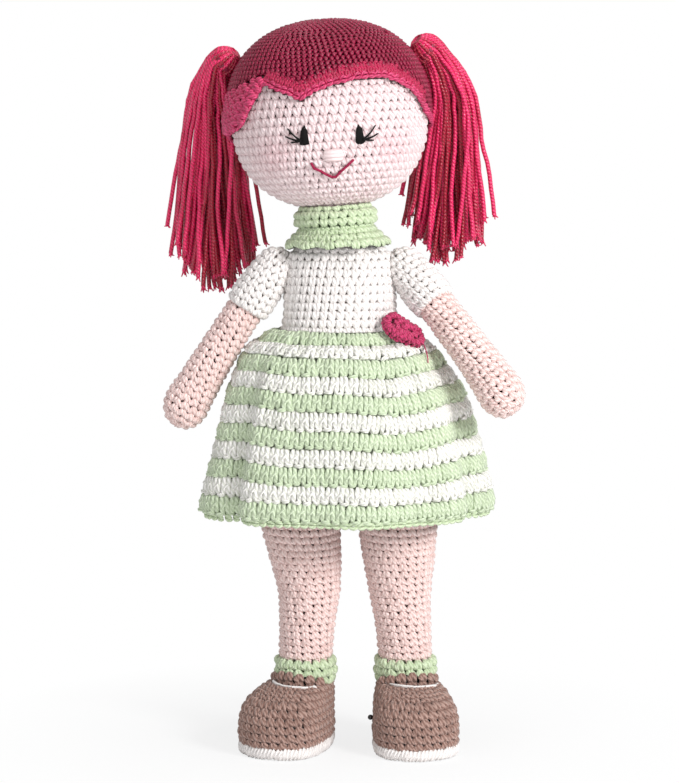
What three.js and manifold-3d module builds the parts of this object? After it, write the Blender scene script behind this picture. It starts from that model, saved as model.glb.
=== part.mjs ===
// A standing crocheted doll with pigtails, a striped bell skirt and chunky shoes.
// Millimetres, +Z up, the floor at z = 0, the face towards -Y and +X on the viewer's right.
import * as THREE from "three";
import { mergeVertices } from "three/addons/utils/BufferGeometryUtils.js";
import Module from "manifold-3d";

const wasm = await Module();
wasm.setup();

// Shared sizes
const clearance = 0.3;
const cloth = 2.4;
const overrun = 6;
const threadRadius = 1.2;
const knotRadius = 2.6;

// Legs
const hipHeight = 196;
const hipRadius = 20.3;
const thighRadius = 21.6;
const leftHipX = -21.5;
const rightHipX = 26;
const crotchHalfDepth = 14;
const crotchDrop = 8;
const ankleRadius = 14.3;

// Head, a wide flattened ball that is fuller than an ellipsoid
const headHalfWidth = 54.3;
const headHalfDepth = 48;
const headHalfHeight = 50.4;
const headFullness = 2.3;
const headRoll = THREE.MathUtils.degToRad(3.6);
const capThickness = 3;

// Neck, dowel and collar
const neckX = -1.1;
const neckAboveHip = 88;
const neckBaseHeight = hipHeight + neckAboveHip;
const headCentreAboveNeck = 73.4;
const neckRadius = 15.6;
const dowelRadius = 4;
const dowelBelowNeck = 32;
const dowelAboveNeck = 48;
const rollOuterRadius = 22.4;
const rollHalfHeight = 5.9;
const rollCentreHeight = 17;
const frillRadius = 28.2;
const frillDrop = 10.6;
const frillScallopDepth = 1.3;
const frillScallops = 11;

// Torso
const torsoX = 0.3;
const torsoAboveHip = 9;
const torsoBottom = hipHeight + torsoAboveHip;
const torsoHalfWidth = 43;
const torsoHalfDepth = 30;

// Arms
const armLength = 105.5;
const handRadius = 12;
const shoulderRadius = 11;
const shoulderBelowNeck = 11;
const shoulderHeight = neckBaseHeight - shoulderBelowNeck;
const sleeveLength = 27;
const sleeveRadius = 12;
const armTuckRadius = 9.1;
const armBow = 1.5;
const leftShoulderX = -36.5;
const rightShoulderX = 37;
const leftSplay = THREE.MathUtils.degToRad(32.5);
const rightSplay = THREE.MathUtils.degToRad(34);
const rightArmForward = THREE.MathUtils.degToRad(28);
const threadInset = 22;

// Socks and shoes
const sockTop = 50.5;
const sockRadius = 16.8;
const shoeHeight = 37;
const heelRadius = 16;
const toeRadius = 26;
const toeReach = 23;
const openingHalfDepth = 19.4;
const openingForward = 3.6;
const shoeWall = 3;
const soleThickness = 7.7;
const insoleThickness = 1.4;
const leftToeOut = THREE.MathUtils.degToRad(-30);
const rightToeOut = THREE.MathUtils.degToRad(12);
const edgingRadius = 0.8;
const beadRadius = 1.6;

// Skirt
const waistAboveHip = 42;
const skirtBelowHip = 59;
const skirtTop = hipHeight + waistAboveHip;
const skirtBottom = hipHeight - skirtBelowHip;
const skirtHalfWidth = 80.7;
const skirtHalfDepth = 62;
const skirtCentreX = 3.1;
const foldDepth = 3;
const foldCount = 9;
const hemRadius = 1.6;

// Rose
const roseRadius = 11;
const roseBase = 1.5;
const roseHeight = 6.5;
const petalThickness = 2;
const roseX = 35;
const roseY = -17.6;
const roseBelowWaist = 2;
const roseZ = skirtTop - roseBelowWaist;

// Pigtails
const pigtailLength = 126;
const pigtailHalfWidth = 29;
const pigtailHalfDepth = 14;
const pigtailRootRadius = 7.8;
const pigtailRootHeight = 30;
const pigtailRootBack = 8;
const tieRadius = 1.1;

// Face
const stitchDepth = 1;
const eyeHalfHeight = 5.2;
const eyeHalfWidth = 2.4;
const lashWidth = 0.9;
const mouthHalfWidth = 11;
const mouthDrop = 8;
const noseHalfWidth = 7;
const noseHalfHeight = 3.2;
const noseDepth = 3.4;
const capEdgeRadius = 1.5;

// Ring of points round a centre, anticlockwise seen from above
function ring(centre, halfX, halfY, sides, swell = () => 1) {
  return Array.from({ length: sides }, (_, i) => {
    const turn = (2 * Math.PI * i) / sides;
    const size = swell(turn);
    return new THREE.Vector3(
      centre.x + halfX * size * Math.cos(turn),
      centre.y + halfY * size * Math.sin(turn),
      centre.z,
    );
  });
}

function indexed(points, index) {
  const geometry = new THREE.BufferGeometry().setFromPoints(points);
  geometry.setIndex(index);
  return geometry;
}

// Closed solid skinned over rings that follow one another, with a fan at each end
function loft(rings, firstPole = null, lastPole = null) {
  const count = rings[0].length;
  const points = rings.flat();
  const index = [];
  for (let k = 0; k + 1 < rings.length; k++) {
    for (let i = 0; i < count; i++) {
      const a = k * count + i;
      const b = k * count + ((i + 1) % count);
      index.push(a, b, b + count, a, b + count, a + count);
    }
  }
  const middle = (row) => row.reduce((sum, p) => sum.add(p), new THREE.Vector3()).divideScalar(count);
  const first = points.push(firstPole ?? middle(rings[0])) - 1;
  const last = points.push(lastPole ?? middle(rings.at(-1))) - 1;
  const top = (rings.length - 1) * count;
  for (let i = 0; i < count; i++) {
    const next = (i + 1) % count;
    index.push(first, next, i, last, top + i, top + next);
  }
  return indexed(points, index);
}

// Closed band: a section repeated round a loop, listed outer, upper, inner, lower
function band(sections) {
  const size = sections[0].length;
  const index = [];
  sections.forEach((_, k) => {
    const next = (k + 1) % sections.length;
    for (let i = 0; i < size; i++) {
      const j = (i + 1) % size;
      const a = k * size + i;
      const b = next * size + i;
      index.push(a, b, next * size + j, a, next * size + j, k * size + j);
    }
  });
  return indexed(sections.flat(), index);
}

// Closed cord of oval section whose spokes point away from the loop's middle
function hoop(path, middle, halfOut, halfUp, sides) {
  return band(
    path.map((p) => {
      const out = new THREE.Vector3(p.x - middle.x, p.y - middle.y, 0).normalize();
      return Array.from({ length: sides }, (_, i) => {
        const turn = (2 * Math.PI * i) / sides;
        return p
          .clone()
          .addScaledVector(out, halfOut * Math.cos(turn))
          .add(new THREE.Vector3(0, 0, halfUp * Math.sin(turn)));
      });
    }),
  );
}

function solid(geometry, matrix = null) {
  const bare = geometry.clone();
  bare.deleteAttribute("normal");
  bare.deleteAttribute("uv");
  if (matrix) bare.applyMatrix4(matrix);
  const merged = mergeVertices(bare);
  return new wasm.Manifold(
    new wasm.Mesh({
      numProp: 3,
      vertProperties: new Float32Array(merged.attributes.position.array),
      triVerts: new Uint32Array(merged.index.array),
    }),
  );
}

function geometryOf(manifold) {
  const mesh = manifold.getMesh();
  const geometry = new THREE.BufferGeometry();
  geometry.setAttribute("position", new THREE.BufferAttribute(mesh.vertProperties, 3));
  geometry.setIndex(new THREE.BufferAttribute(mesh.triVerts, 1));
  const flat = geometry.toNonIndexed();
  flat.computeVertexNormals();
  return flat;
}

function joined(...solids) {
  return solids.reduce((sum, next) => sum.add(next));
}

function cut(from, ...tools) {
  return tools.reduce((left, tool) => left.subtract(tool), from);
}

function sphere(centre, radius, sides = 8) {
  const ball = new THREE.SphereGeometry(radius, sides, Math.ceil(sides * 0.6));
  return solid(ball, new THREE.Matrix4().makeTranslation(centre));
}

// Ball whose facets all lie outside the true sphere, its poles on the X axis
function roundedAbout(centre, radius, sides = 16) {
  const rows = sides / 2;
  const around = radius / (Math.cos(Math.PI / sides) * Math.cos(Math.PI / (2 * rows)));
  const ball = new THREE.SphereGeometry(around, sides, rows);
  ball.rotateZ(Math.PI / 2);
  return solid(ball, new THREE.Matrix4().makeTranslation(centre));
}

// Round bar between two points
function bar(from, to, radius, sides = 10) {
  const span = to.clone().sub(from);
  const geometry = new THREE.CylinderGeometry(radius, radius, span.length(), sides);
  const turn = new THREE.Quaternion().setFromUnitVectors(
    new THREE.Vector3(0, 1, 0),
    span.clone().normalize(),
  );
  const middle = from.clone().add(to).divideScalar(2);
  return solid(geometry, new THREE.Matrix4().compose(middle, turn, new THREE.Vector3(1, 1, 1)));
}

// Value at a share of the way through a table of [share, value, ...] rows
function along(table, share, column = 1) {
  const next = table.findIndex((row) => row[0] >= share);
  if (next <= 0) return table.at(next)[column];
  const [low, high] = [table[next - 1], table[next]];
  const part = (share - low[0]) / (high[0] - low[0]);
  return low[column] + part * (high[column] - low[column]);
}

const doll = new THREE.Group();

function add(parent, name, manifold, color, roughness = 0.95) {
  const material = new THREE.MeshStandardMaterial({ color, roughness, metalness: 0 });
  const mesh = new THREE.Mesh(geometryOf(manifold), material);
  mesh.name = name;
  parent.add(mesh);
}

// Colours
const skin = 0xf0d7d0;
const limb = 0xebccc6;
const white = 0xf1efe9;
const mint = 0xc3d8ae;
const brown = 0xa58272;
const magenta = 0x96204a;
const hairRed = 0xc42448;
const roseRed = 0xc83c6c;
const filling = 0xf4f2ec;
const black = 0x1c1a1b;
const wood = 0xcaa878;
const board = 0xb9a88c;

// Head solid, grown or shrunk by an even amount
const headSides = 20;
const headRows = 11;

function headFrom(grow) {
  const power = 2 / headFullness;
  const rows = [];
  for (let k = 1; k < headRows; k++) {
    const tilt = Math.PI * (k / headRows - 1 / 2);
    const rise = Math.sign(tilt) * Math.abs(Math.sin(tilt)) ** power;
    const width = Math.cos(tilt) ** power;
    rows.push(
      ring(
        new THREE.Vector3(0, 0, rise * (headHalfHeight + grow)),
        width * (headHalfWidth + grow),
        width * (headHalfDepth + grow),
        headSides,
      ),
    );
  }
  const pole = new THREE.Vector3(0, 0, headHalfHeight + grow);
  return solid(loft(rows, pole.clone().negate(), pole));
}

// Half width and depth share of the head at a height above its centre
function headNarrowing(height, grow = 0) {
  const share = Math.min(Math.abs(height) / (headHalfHeight + grow), 1);
  return (1 - share ** headFullness) ** (1 / headFullness);
}

// Depth of the face at a place on its front
function faceDepth(x, z, grow = 0) {
  const narrowing = headNarrowing(z, grow);
  const side = x / ((headHalfWidth + grow) * narrowing);
  return -(headHalfDepth + grow) * narrowing * Math.sqrt(Math.max(1 - side * side, 0));
}

// Neck group leans with the head, and the head turns about its upright axis
const neck = new THREE.Group();
neck.position.set(neckX, 0, neckBaseHeight);
neck.rotation.y = -headRoll;
doll.add(neck);
neck.updateMatrix();
const head = new THREE.Group();
head.position.z = headCentreAboveNeck;
neck.add(head);
const headInNeck = new THREE.Matrix4().makeTranslation(0, 0, headCentreAboveNeck);
const neckInTorso = neck.matrix.clone();
const neckTop = headCentreAboveNeck - headHalfHeight;

function upright(low, high, radius, sides) {
  return bar(new THREE.Vector3(0, 0, low), new THREE.Vector3(0, 0, high), radius, sides);
}

function dowel(grow, below, above) {
  return upright(-dowelBelowNeck - below, dowelAboveNeck + above, dowelRadius + grow, 12);
}

const neckSides = 16;
const neckHole = neckRadius - cloth;
const dowelHole = dowel(clearance, clearance, clearance);
const dowelHoleInHead = solid(
  geometryOf(dowelHole),
  new THREE.Matrix4().makeTranslation(0, 0, -headCentreAboveNeck),
);

// Torso profile: share of height, of half width and of half depth
const torsoShares = [
  [0, 0.93, 0.9],
  [0.09, 1, 1],
  [0.215, 0.92, 0.95],
  [0.315, 0.825, 0.87],
  [0.405, 0.767, 0.817],
  [0.52, 0.73, 0.78],
  [0.67, 0.695, 0.74],
  [0.823, 0.642, 0.683],
  [0.9, 0.59, 0.627],
  [0.95, 0.512, 0.573],
  [1, 0.381, 0.54],
];
const torsoSides = 18;

function torsoFrom(inset) {
  const height = neckBaseHeight - torsoBottom;
  const rows = torsoShares.map(([rise, wide, deep], k) => {
    const ends = k === 0 ? inset : k === torsoShares.length - 1 ? -inset : 0;
    return ring(
      new THREE.Vector3(torsoX, 0, torsoBottom + rise * height + ends),
      wide * torsoHalfWidth - inset,
      deep * torsoHalfDepth - inset,
      torsoSides,
    );
  });
  return solid(loft(rows));
}

const shoulders = [
  { side: -1, name: "left", x: leftShoulderX, splay: leftSplay, swing: 0 },
  { side: 1, name: "right", x: rightShoulderX, splay: -rightSplay, swing: -rightArmForward },
];
const hips = [
  { side: -1, name: "left", x: leftHipX, toeOut: leftToeOut },
  { side: 1, name: "right", x: rightHipX, toeOut: rightToeOut },
];

function shoulderBall(shoulder, grow) {
  const centre = new THREE.Vector3(shoulder.x, 0, shoulderHeight);
  return roundedAbout(centre, shoulderRadius + grow, 14);
}

function hipBall(hip, grow) {
  return roundedAbout(new THREE.Vector3(hip.x, 0, hipHeight), hipRadius + grow);
}

function sockets(grow) {
  return joined(
    ...shoulders.map((s) => shoulderBall(s, grow)),
    ...hips.map((h) => hipBall(h, grow)),
  );
}

// Thread with a knot at each end, along X
function knotted(from, to, height, grow) {
  const [a, b] = [from, to].map((x) => new THREE.Vector3(x, 0, height));
  return joined(
    bar(a, b, threadRadius + grow, 6),
    sphere(a, knotRadius + grow),
    sphere(b, knotRadius + grow),
  );
}

function shoulderThread(shoulder, grow) {
  const inner = shoulder.x - shoulder.side * threadInset;
  return knotted(inner, shoulder.x, shoulderHeight, grow);
}

function hipThread(grow) {
  return knotted(leftHipX, rightHipX, hipHeight, grow);
}

// Panel between the legs that carries the hip thread
const crotchMiddle = (leftHipX + rightHipX) / 2;
const crotchHalfWidth = (rightHipX - leftHipX) / 2 - hipRadius - clearance;
const crotch = solid(
  new THREE.BoxGeometry(
    2 * crotchHalfWidth,
    2 * crotchHalfDepth,
    torsoBottom + cloth - (hipHeight - crotchDrop),
  ),
  new THREE.Matrix4().makeTranslation(
    crotchMiddle,
    0,
    (torsoBottom + cloth + hipHeight - crotchDrop) / 2,
  ),
);
const neckHoleInTorso = solid(
  geometryOf(upright(-overrun, overrun, neckHole, neckSides)),
  neckInTorso,
);
const torsoHollow = cut(torsoFrom(cloth), sockets(clearance + cloth));
const threadHoles = joined(
  ...shoulders.map((s) => shoulderThread(s, clearance)),
  hipThread(clearance),
);
const torsoCover = cut(
  joined(torsoFrom(0), crotch),
  sockets(clearance),
  torsoHollow,
  neckHoleInTorso,
  threadHoles,
);
const neckFilling = solid(
  geometryOf(
    cut(
      upright(-cloth - overrun, neckTop - clearance, neckHole - clearance, neckSides),
      solid(geometryOf(headFrom(clearance)), headInNeck),
    ),
  ),
  neckInTorso,
);
const torsoStuffing = cut(
  joined(
    cut(torsoFrom(cloth + clearance), sockets(clearance + cloth + clearance)),
    neckFilling,
  ),
  threadHoles,
  solid(geometryOf(dowelHole), neckInTorso),
);
add(doll, "torso_cover", torsoCover, white);
add(doll, "torso_stuffing", torsoStuffing, filling);
add(doll, "hip_thread", hipThread(0), white);
for (const s of shoulders) add(doll, "shoulder_thread_" + s.name, shoulderThread(s, 0), white);

// Neck tube, dowel and collar
add(neck, "neck_dowel", dowel(0, 0, 0), wood, 0.7);
add(
  neck,
  "neck_cover",
  cut(
    upright(-cloth, neckTop + cloth, neckRadius, neckSides),
    upright(-overrun, neckTop + overrun, neckHole, neckSides),
    solid(geometryOf(headFrom(clearance)), headInNeck),
    solid(geometryOf(torsoFrom(-clearance)), neckInTorso.clone().invert()),
  ),
  skin,
);
const rollMiddle = new THREE.Vector3(0, 0, rollCentreHeight);
const rollInnerRadius = neckRadius + clearance;
const rollHalfThickness = (rollOuterRadius - rollInnerRadius) / 2;
const rollPath = ring(
  rollMiddle,
  rollInnerRadius + rollHalfThickness,
  rollInnerRadius + rollHalfThickness,
  24,
);
add(neck, "collar_roll", solid(hoop(rollPath, rollMiddle, rollHalfThickness, rollHalfHeight, 8)), mint);

// Scalloped frill that slopes from under the roll down to the shoulders
const frillTop = rollCentreHeight - rollHalfHeight - clearance;
const frillSteps = 4 * frillScallops;
const frillSections = Array.from({ length: frillSteps }, (_, i) => {
  const turn = (2 * Math.PI * i) / frillSteps;
  const wave = Math.cos(frillScallops * turn);
  const spot = (radius, height) =>
    new THREE.Vector3(radius * Math.cos(turn), radius * Math.sin(turn), height);
  const outer = frillRadius + frillScallopDepth * wave;
  const low = frillTop - frillDrop - (frillScallopDepth * wave) / 2;
  return [
    spot(outer, low + cloth),
    spot(rollInnerRadius + cloth, frillTop),
    spot(rollInnerRadius, frillTop - cloth),
    spot(outer - cloth, low),
  ];
});
add(neck, "collar_frill", cut(solid(band(frillSections)), solid(
  geometryOf(joined(...shoulders.map((s) => shoulderBall(s, clearance)), torsoFrom(-clearance))),
  neckInTorso.clone().invert(),
)), mint);

// Head cover, its filling and the hair cap
const headCover = cut(
  headFrom(0),
  headFrom(-cloth),
  upright(-headHalfHeight - overrun, 0, neckHole, neckSides),
);
add(head, "head_cover", headCover, skin);
add(head, "head_stuffing", cut(headFrom(-cloth - clearance), dowelHoleInHead), filling);

// Hairline of the cap: shares of the head's half width and half height, from lock tip to temple
const hairlineShares = [
  [-0.985, -0.09],
  [-0.89, -0.03],
  [-0.8, 0.145],
  [-0.685, 0.333],
  [-0.63, 0.415],
  [-0.475, 0.32],
  [-0.376, 0.28],
  [-0.278, 0.208],
  [-0.13, 0.296],
  [0.057, 0.357],
  [0.326, 0.407],
  [0.573, 0.403],
  [0.694, 0.353],
  [0.834, 0.256],
  [0.925, 0.139],
  [0.99, -0.02],
];
const lowerFace = [
  [1.3, -0.02],
  [1.3, -1.3],
  [-1.3, -1.3],
  [-1.3, -0.09],
].map(([x, z]) => new THREE.Vector2(x * headHalfWidth, z * headHalfHeight));
const hairline = hairlineShares.map(
  ([x, z]) => new THREE.Vector2(x * headHalfWidth, z * headHalfHeight),
);

// Flat outline in the XZ plane pushed through the front of the head along -Y
function throughFront(points, depth) {
  const flat = new THREE.ExtrudeGeometry(new THREE.Shape(points), {
    depth,
    bevelEnabled: false,
  });
  return solid(flat, new THREE.Matrix4().makeRotationX(Math.PI / 2));
}

const capFrontShare = 0.1;
const capNapeShare = 0.62;
const faceOpening = throughFront([...hairline, ...lowerFace], headHalfDepth + overrun);
const napeSide = headHalfWidth + overrun;
const napeOutline = new THREE.Shape(
  [
    [-capFrontShare * headHalfDepth, -capFrontShare * headHalfHeight],
    [headHalfDepth + overrun, -capNapeShare * headHalfHeight],
    [headHalfDepth + overrun, -headHalfHeight - overrun],
    [-headHalfDepth - overrun, -headHalfHeight - overrun],
    [-headHalfDepth - overrun, -capFrontShare * headHalfHeight],
  ].map(([y, z]) => new THREE.Vector2(y, z)),
);
const belowNape = solid(
  new THREE.ExtrudeGeometry(napeOutline, { depth: 2 * napeSide, bevelEnabled: false }),
  new THREE.Matrix4()
    .makeTranslation(-napeSide, 0, 0)
    .multiply(new THREE.Matrix4().makeBasis(
      new THREE.Vector3(0, 1, 0),
      new THREE.Vector3(0, 0, 1),
      new THREE.Vector3(1, 0, 0),
    )),
);
const edgeLift = clearance + capEdgeRadius;
const edgePath = new THREE.CatmullRomCurve3(
  hairline
    .slice(1, -1)
    .map((p) => new THREE.Vector3(p.x, faceDepth(p.x, p.y, edgeLift), p.y)),
);
const edgeTurns = 5;
const edgeSection = new THREE.Shape(
  Array.from({ length: edgeTurns }, (_, i) => {
    const turn = (2 * Math.PI * i) / edgeTurns;
    return new THREE.Vector2(capEdgeRadius * Math.cos(turn), capEdgeRadius * Math.sin(turn));
  }),
);
const capEdge = solid(
  new THREE.ExtrudeGeometry(edgeSection, { steps: 26, extrudePath: edgePath, bevelEnabled: false }),
);
const capShell = cut(headFrom(clearance + capThickness), faceOpening, belowNape);
add(head, "hair_cap", cut(joined(capShell, capEdge), headFrom(clearance)), magenta);

// Sewn features lie on the face as a thin layer
const stitchLayer = cut(headFrom(clearance + stitchDepth), headFrom(clearance));

function sewn(...outlines) {
  const pushed = outlines.map((points) => throughFront(points, headHalfDepth + overrun));
  return joined(...pushed).intersect(stitchLayer);
}

// Straight strip between two places on the face
function strip(from, to, width) {
  const across = to.clone().sub(from).normalize().multiplyScalar(width / 2);
  const side = new THREE.Vector2(-across.y, across.x);
  const [a, b] = [from.clone().sub(across), to.clone().add(across)];
  return [
    a.clone().sub(side),
    b.clone().sub(side),
    b.clone().add(side),
    a.clone().add(side),
  ];
}

// Eyes: a pointed oval with three lashes each, as shares of the eye's half height
const eyes = [
  { name: "left", side: -1, xShare: -0.265, zShare: -0.185 },
  { name: "right", side: 1, xShare: 0.3, zShare: -0.212 },
];
const eyeOutlineShares = [
  [0, 1],
  [0.75, 0.3],
  [1, -0.5],
  [0.5, -1],
  [-0.6, -1],
  [-1, -0.3],
  [-0.8, 0.4],
];
const lashRootShare = [0.25, -0.45];
const lashShares = [
  [1.6, 0.75],
  [1.85, -0.1],
  [1.4, -0.8],
];
for (const eye of eyes) {
  const middle = new THREE.Vector2(eye.xShare * headHalfWidth, eye.zShare * headHalfHeight);
  const oval = eyeOutlineShares.map(([x, z]) =>
    new THREE.Vector2(-eye.side * x * eyeHalfWidth, z * eyeHalfHeight).add(middle),
  );
  const place = ([x, z]) =>
    new THREE.Vector2(eye.side * x, z).multiplyScalar(eyeHalfHeight).add(middle);
  const lashes = lashShares.map((tip) => strip(place(lashRootShare), place(tip), lashWidth));
  add(head, "eye_" + eye.name, sewn(oval, ...lashes), black, 0.6);
}

// Mouth: a line of straight stitches
const mouthMiddleX = 0.3;
const mouthTop = 25;
const mouthShares = [
  [-1, 0.02],
  [-0.86, 0.35],
  [-0.4, 0.75],
  [-0.03, 1],
  [0.32, 0.76],
  [1, 0],
];
const mouthPoints = mouthShares.map(
  ([x, z]) => new THREE.Vector2(mouthMiddleX + x * mouthHalfWidth, -mouthTop - z * mouthDrop),
);
const mouthWidth = 1.5 * lashWidth;
add(
  head,
  "mouth_stitch",
  sewn(...mouthPoints.slice(1).map((p, i) => strip(mouthPoints[i], p, mouthWidth))),
  roseRed,
);

// Nose: a small bobble sewn to the face
const noseX = 1.1;
const noseZ = -21;
const nose = new THREE.SphereGeometry(1, 12, 8);
nose.scale(noseHalfWidth, noseDepth, noseHalfHeight);
nose.translate(noseX, faceDepth(noseX, noseZ), noseZ);
add(head, "nose", cut(solid(nose), headFrom(clearance)), skin);

// Pigtails: each is a bundle of yarn that leaves a ball at the cap and falls behind the shoulder
const fallShares = [0, 0.033, 0.12, 0.24, 0.463, 0.743, 1];
const backShares = [0, 0.02, 0.055, 0.11, 0.18, 0.25, 0.285];
const widthShares = [0.269, 0.275, 0.4, 0.5, 0.67, 0.86, 1];
const depthShares = [0.557, 0.565, 0.68, 0.75, 0.88, 0.95, 1];
const outShares = {
  left: [0, 0.035, 0.05, 0.05, 0.05, 0.058, 0.058],
  right: [0, 0.035, 0.085, 0.12, 0.121, 0.11, 0.094],
};
const strandCount = 9;
const strandWave = 0.07;
const rootGap = clearance + capThickness + clearance;
const rootNarrowing = headNarrowing(pigtailRootHeight, capThickness);
const rootX =
  (headHalfWidth + capThickness) *
  rootNarrowing *
  Math.sqrt(1 - (pigtailRootBack / (headHalfDepth * rootNarrowing)) ** 2);
const rootNormal = new THREE.Vector2(
  (rootX / headHalfWidth) ** (headFullness - 1) / headHalfWidth,
  (pigtailRootHeight / headHalfHeight) ** (headFullness - 1) / headHalfHeight,
).normalize();

for (const [name, side] of [["left", -1], ["right", 1]]) {
  const group = new THREE.Group();
  group.position.set(
    side * (rootX + rootNormal.x * (pigtailRootRadius + clearance)),
    pigtailRootBack,
    pigtailRootHeight + rootNormal.y * (pigtailRootRadius + clearance),
  );
  group.rotation.y = headRoll;
  head.add(group);
  group.updateMatrix();
  const path = new THREE.CatmullRomCurve3(
    fallShares.map(
      (fall, k) =>
        new THREE.Vector3(
          side * outShares[name][k] * pigtailLength,
          backShares[k] * pigtailLength,
          -fall * pigtailLength,
        ),
    ),
  );
  const start = path.getPoint(1 / (fallShares.length - 1)).normalize();
  const frameAt = (tangent) => {
    const deep = new THREE.Vector3(0, 1, 0).projectOnPlane(tangent).normalize();
    return { deep, wide: deep.clone().cross(tangent) };
  };
  const section = (centre, tangent, wideHalf, deepHalf, wave) => {
    const { deep, wide } = frameAt(tangent);
    return Array.from({ length: 2 * strandCount }, (_, i) => {
      const turn = (Math.PI * i) / strandCount;
      const size = 1 + wave * Math.cos(strandCount * turn);
      return centre
        .clone()
        .addScaledVector(wide, wideHalf * size * Math.cos(turn))
        .addScaledVector(deep, deepHalf * size * Math.sin(turn));
    });
  };
  const rows = [Math.PI / 6, Math.PI / 3].map((tilt) => {
    const radius = pigtailRootRadius * Math.sin(tilt);
    const centre = start.clone().multiplyScalar(-pigtailRootRadius * Math.cos(tilt));
    return section(centre, start, radius, radius, 0);
  });
  const steps = 13;
  for (let k = 0; k <= steps; k++) {
    const u = k / steps;
    const place = u * (fallShares.length - 1);
    const low = Math.min(Math.floor(place), fallShares.length - 2);
    const mix = (table) => table[low] + (place - low) * (table[low + 1] - table[low]);
    const settled = Math.min(u * 2, 1);
    rows.push(
      section(
        path.getPoint(u),
        k === 0 ? start : path.getTangent(u),
        mix(widthShares) * pigtailHalfWidth,
        mix(depthShares) * pigtailHalfDepth,
        strandWave * settled,
      ),
    );
  }
  const pole = start.clone().multiplyScalar(-pigtailRootRadius);
  const capInGroup = solid(geometryOf(headFrom(rootGap)), group.matrix.clone().invert());
  add(group, "pigtail_" + name, cut(solid(loft(rows, pole)), capInGroup), hairRed);

  // Yarn wound round the bundle just outside the cap
  const tieMiddle = new THREE.Vector3();
  const tiePath = ring(
    tieMiddle,
    pigtailRootRadius + clearance + tieRadius,
    pigtailRootRadius + clearance + tieRadius,
    16,
  );
  const tieTurn = new THREE.Quaternion().setFromUnitVectors(new THREE.Vector3(0, 0, 1), start);
  const tieMatrix = new THREE.Matrix4().compose(
    tieMiddle,
    tieTurn,
    new THREE.Vector3(1, 1, 1),
  );
  const tie = solid(hoop(tiePath, tieMiddle, tieRadius, 1.5 * tieRadius, 6), tieMatrix);
  add(group, "pigtail_tie_" + name, cut(tie, capInGroup), magenta);
}

// Skirt: a hollow bell gathered at the waist, with soft folds that deepen to the hem
const skirtShares = [
  [0, 0.985, 0.992, 1],
  [0.06, 1, 1, 1],
  [0.307, 0.929, 0.927, 1.05],
  [0.446, 0.886, 0.887, 1],
  [0.624, 0.822, 0.823, 0.8],
  [0.782, 0.721, 0.718, 0.15],
  [0.881, 0.651, 0.629, 0],
  [0.95, 0.514, 0.492, -0.5],
  [1, 0.447, 0.447, 0.1],
];
const skirtSides = 42;
const foldPhase = 0.4;

function foldAt(turn, rise) {
  const main = Math.cos(foldCount * turn + foldPhase);
  const second = Math.cos((foldCount - 4) * turn + 2 * foldPhase);
  return foldDepth * (1 - rise) * (main * 0.6 + second * 0.4);
}

function skirtRing(row, inset, lift) {
  const [rise, wide, deep, drift] = row;
  const height = skirtBottom + rise * (skirtTop - skirtBottom) + lift;
  return ring(
    new THREE.Vector3(skirtCentreX * drift, 0, height),
    wide * skirtHalfWidth - inset,
    deep * skirtHalfDepth - inset,
    skirtSides,
    (turn) => 1 + foldAt(turn, rise) / skirtHalfWidth,
  );
}

const shoulderShare = 0.7;
const skirtOuter = skirtShares.map((row) => skirtRing(row, 0, 0));
const skirtInner = skirtShares.map((row) =>
  skirtRing(row, cloth, row[0] > shoulderShare && row[0] < 1 ? -cloth / 2 : 0),
);
skirtInner.unshift(skirtRing(skirtShares[0], cloth, -overrun));
skirtInner.push(skirtRing(skirtShares.at(-1), cloth, overrun));
const torsoGrown = torsoFrom(-clearance);
const skirt = cut(solid(loft(skirtOuter)), solid(loft(skirtInner)), torsoGrown);
add(doll, "skirt", skirt, mint);
const hemPath = skirtRing(skirtShares[0], hemRadius, -clearance - hemRadius);
add(
  doll,
  "skirt_hem",
  solid(hoop(hemPath, new THREE.Vector3(skirtCentreX, 0, 0), hemRadius, hemRadius, 5)),
  mint,
);

// Rose: a ruffled band wound in a spiral on a round base
const roseTurns = 2.25;
const roseSteps = 32;
const rosePetals = 6;
const roseRuffle = 0.12;
const roseSections = Array.from({ length: roseSteps + 1 }, (_, k) => {
  const share = k / roseSteps;
  const turn = 2 * Math.PI * roseTurns * share;
  const spokes = new THREE.Vector3(Math.cos(turn), Math.sin(turn), 0);
  const ruffle = 1 + roseRuffle * share * Math.cos(rosePetals * turn);
  const inner = petalThickness / 2 + (roseRadius - 2 * petalThickness) * share;
  const high = roseHeight * (1 - 0.35 * share) * ruffle;
  const lean = petalThickness * share * ruffle;
  const spot = (radius, height) =>
    spokes.clone().multiplyScalar(radius).add(new THREE.Vector3(0, 0, height));
  return [
    spot(inner, roseBase / 2),
    spot(inner + lean, high),
    spot(inner + lean + petalThickness, high),
    spot(inner + petalThickness, roseBase / 2),
  ];
});
const roseFacing = new THREE.Vector3(0.593, -0.545, 0.593).normalize();
const roseTurn = new THREE.Quaternion().setFromUnitVectors(new THREE.Vector3(0, 0, 1), roseFacing);
const rosePlace = new THREE.Vector3(roseX, roseY, roseZ);
const roseMatrix = new THREE.Matrix4().compose(rosePlace, roseTurn, new THREE.Vector3(1, 1, 1));
const roseUpright = joined(
  solid(loft(roseSections)),
  upright(0, roseBase, roseRadius - petalThickness, 14),
);
const skirtGrown = solid(loft(skirtShares.map((row) => skirtRing(row, -clearance, clearance / 2))));
const rose = cut(solid(geometryOf(roseUpright), roseMatrix), torsoGrown, skirtGrown);
add(doll, "rose", rose, roseRed);

// Arms: share of length and of the hand's radius, from the sleeve's end to the tip
const armShares = [
  [0.27, 0.8],
  [0.5, 0.84],
  [0.7, 0.9],
  [0.82, 0.975],
  [0.89, 1],
  [0.945, 0.88],
  [0.985, 0.55],
];
const armSides = 10;

function limbRow(length, radius, bow) {
  return ring(new THREE.Vector3(bow, 0, -length), radius, radius, armSides);
}

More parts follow.
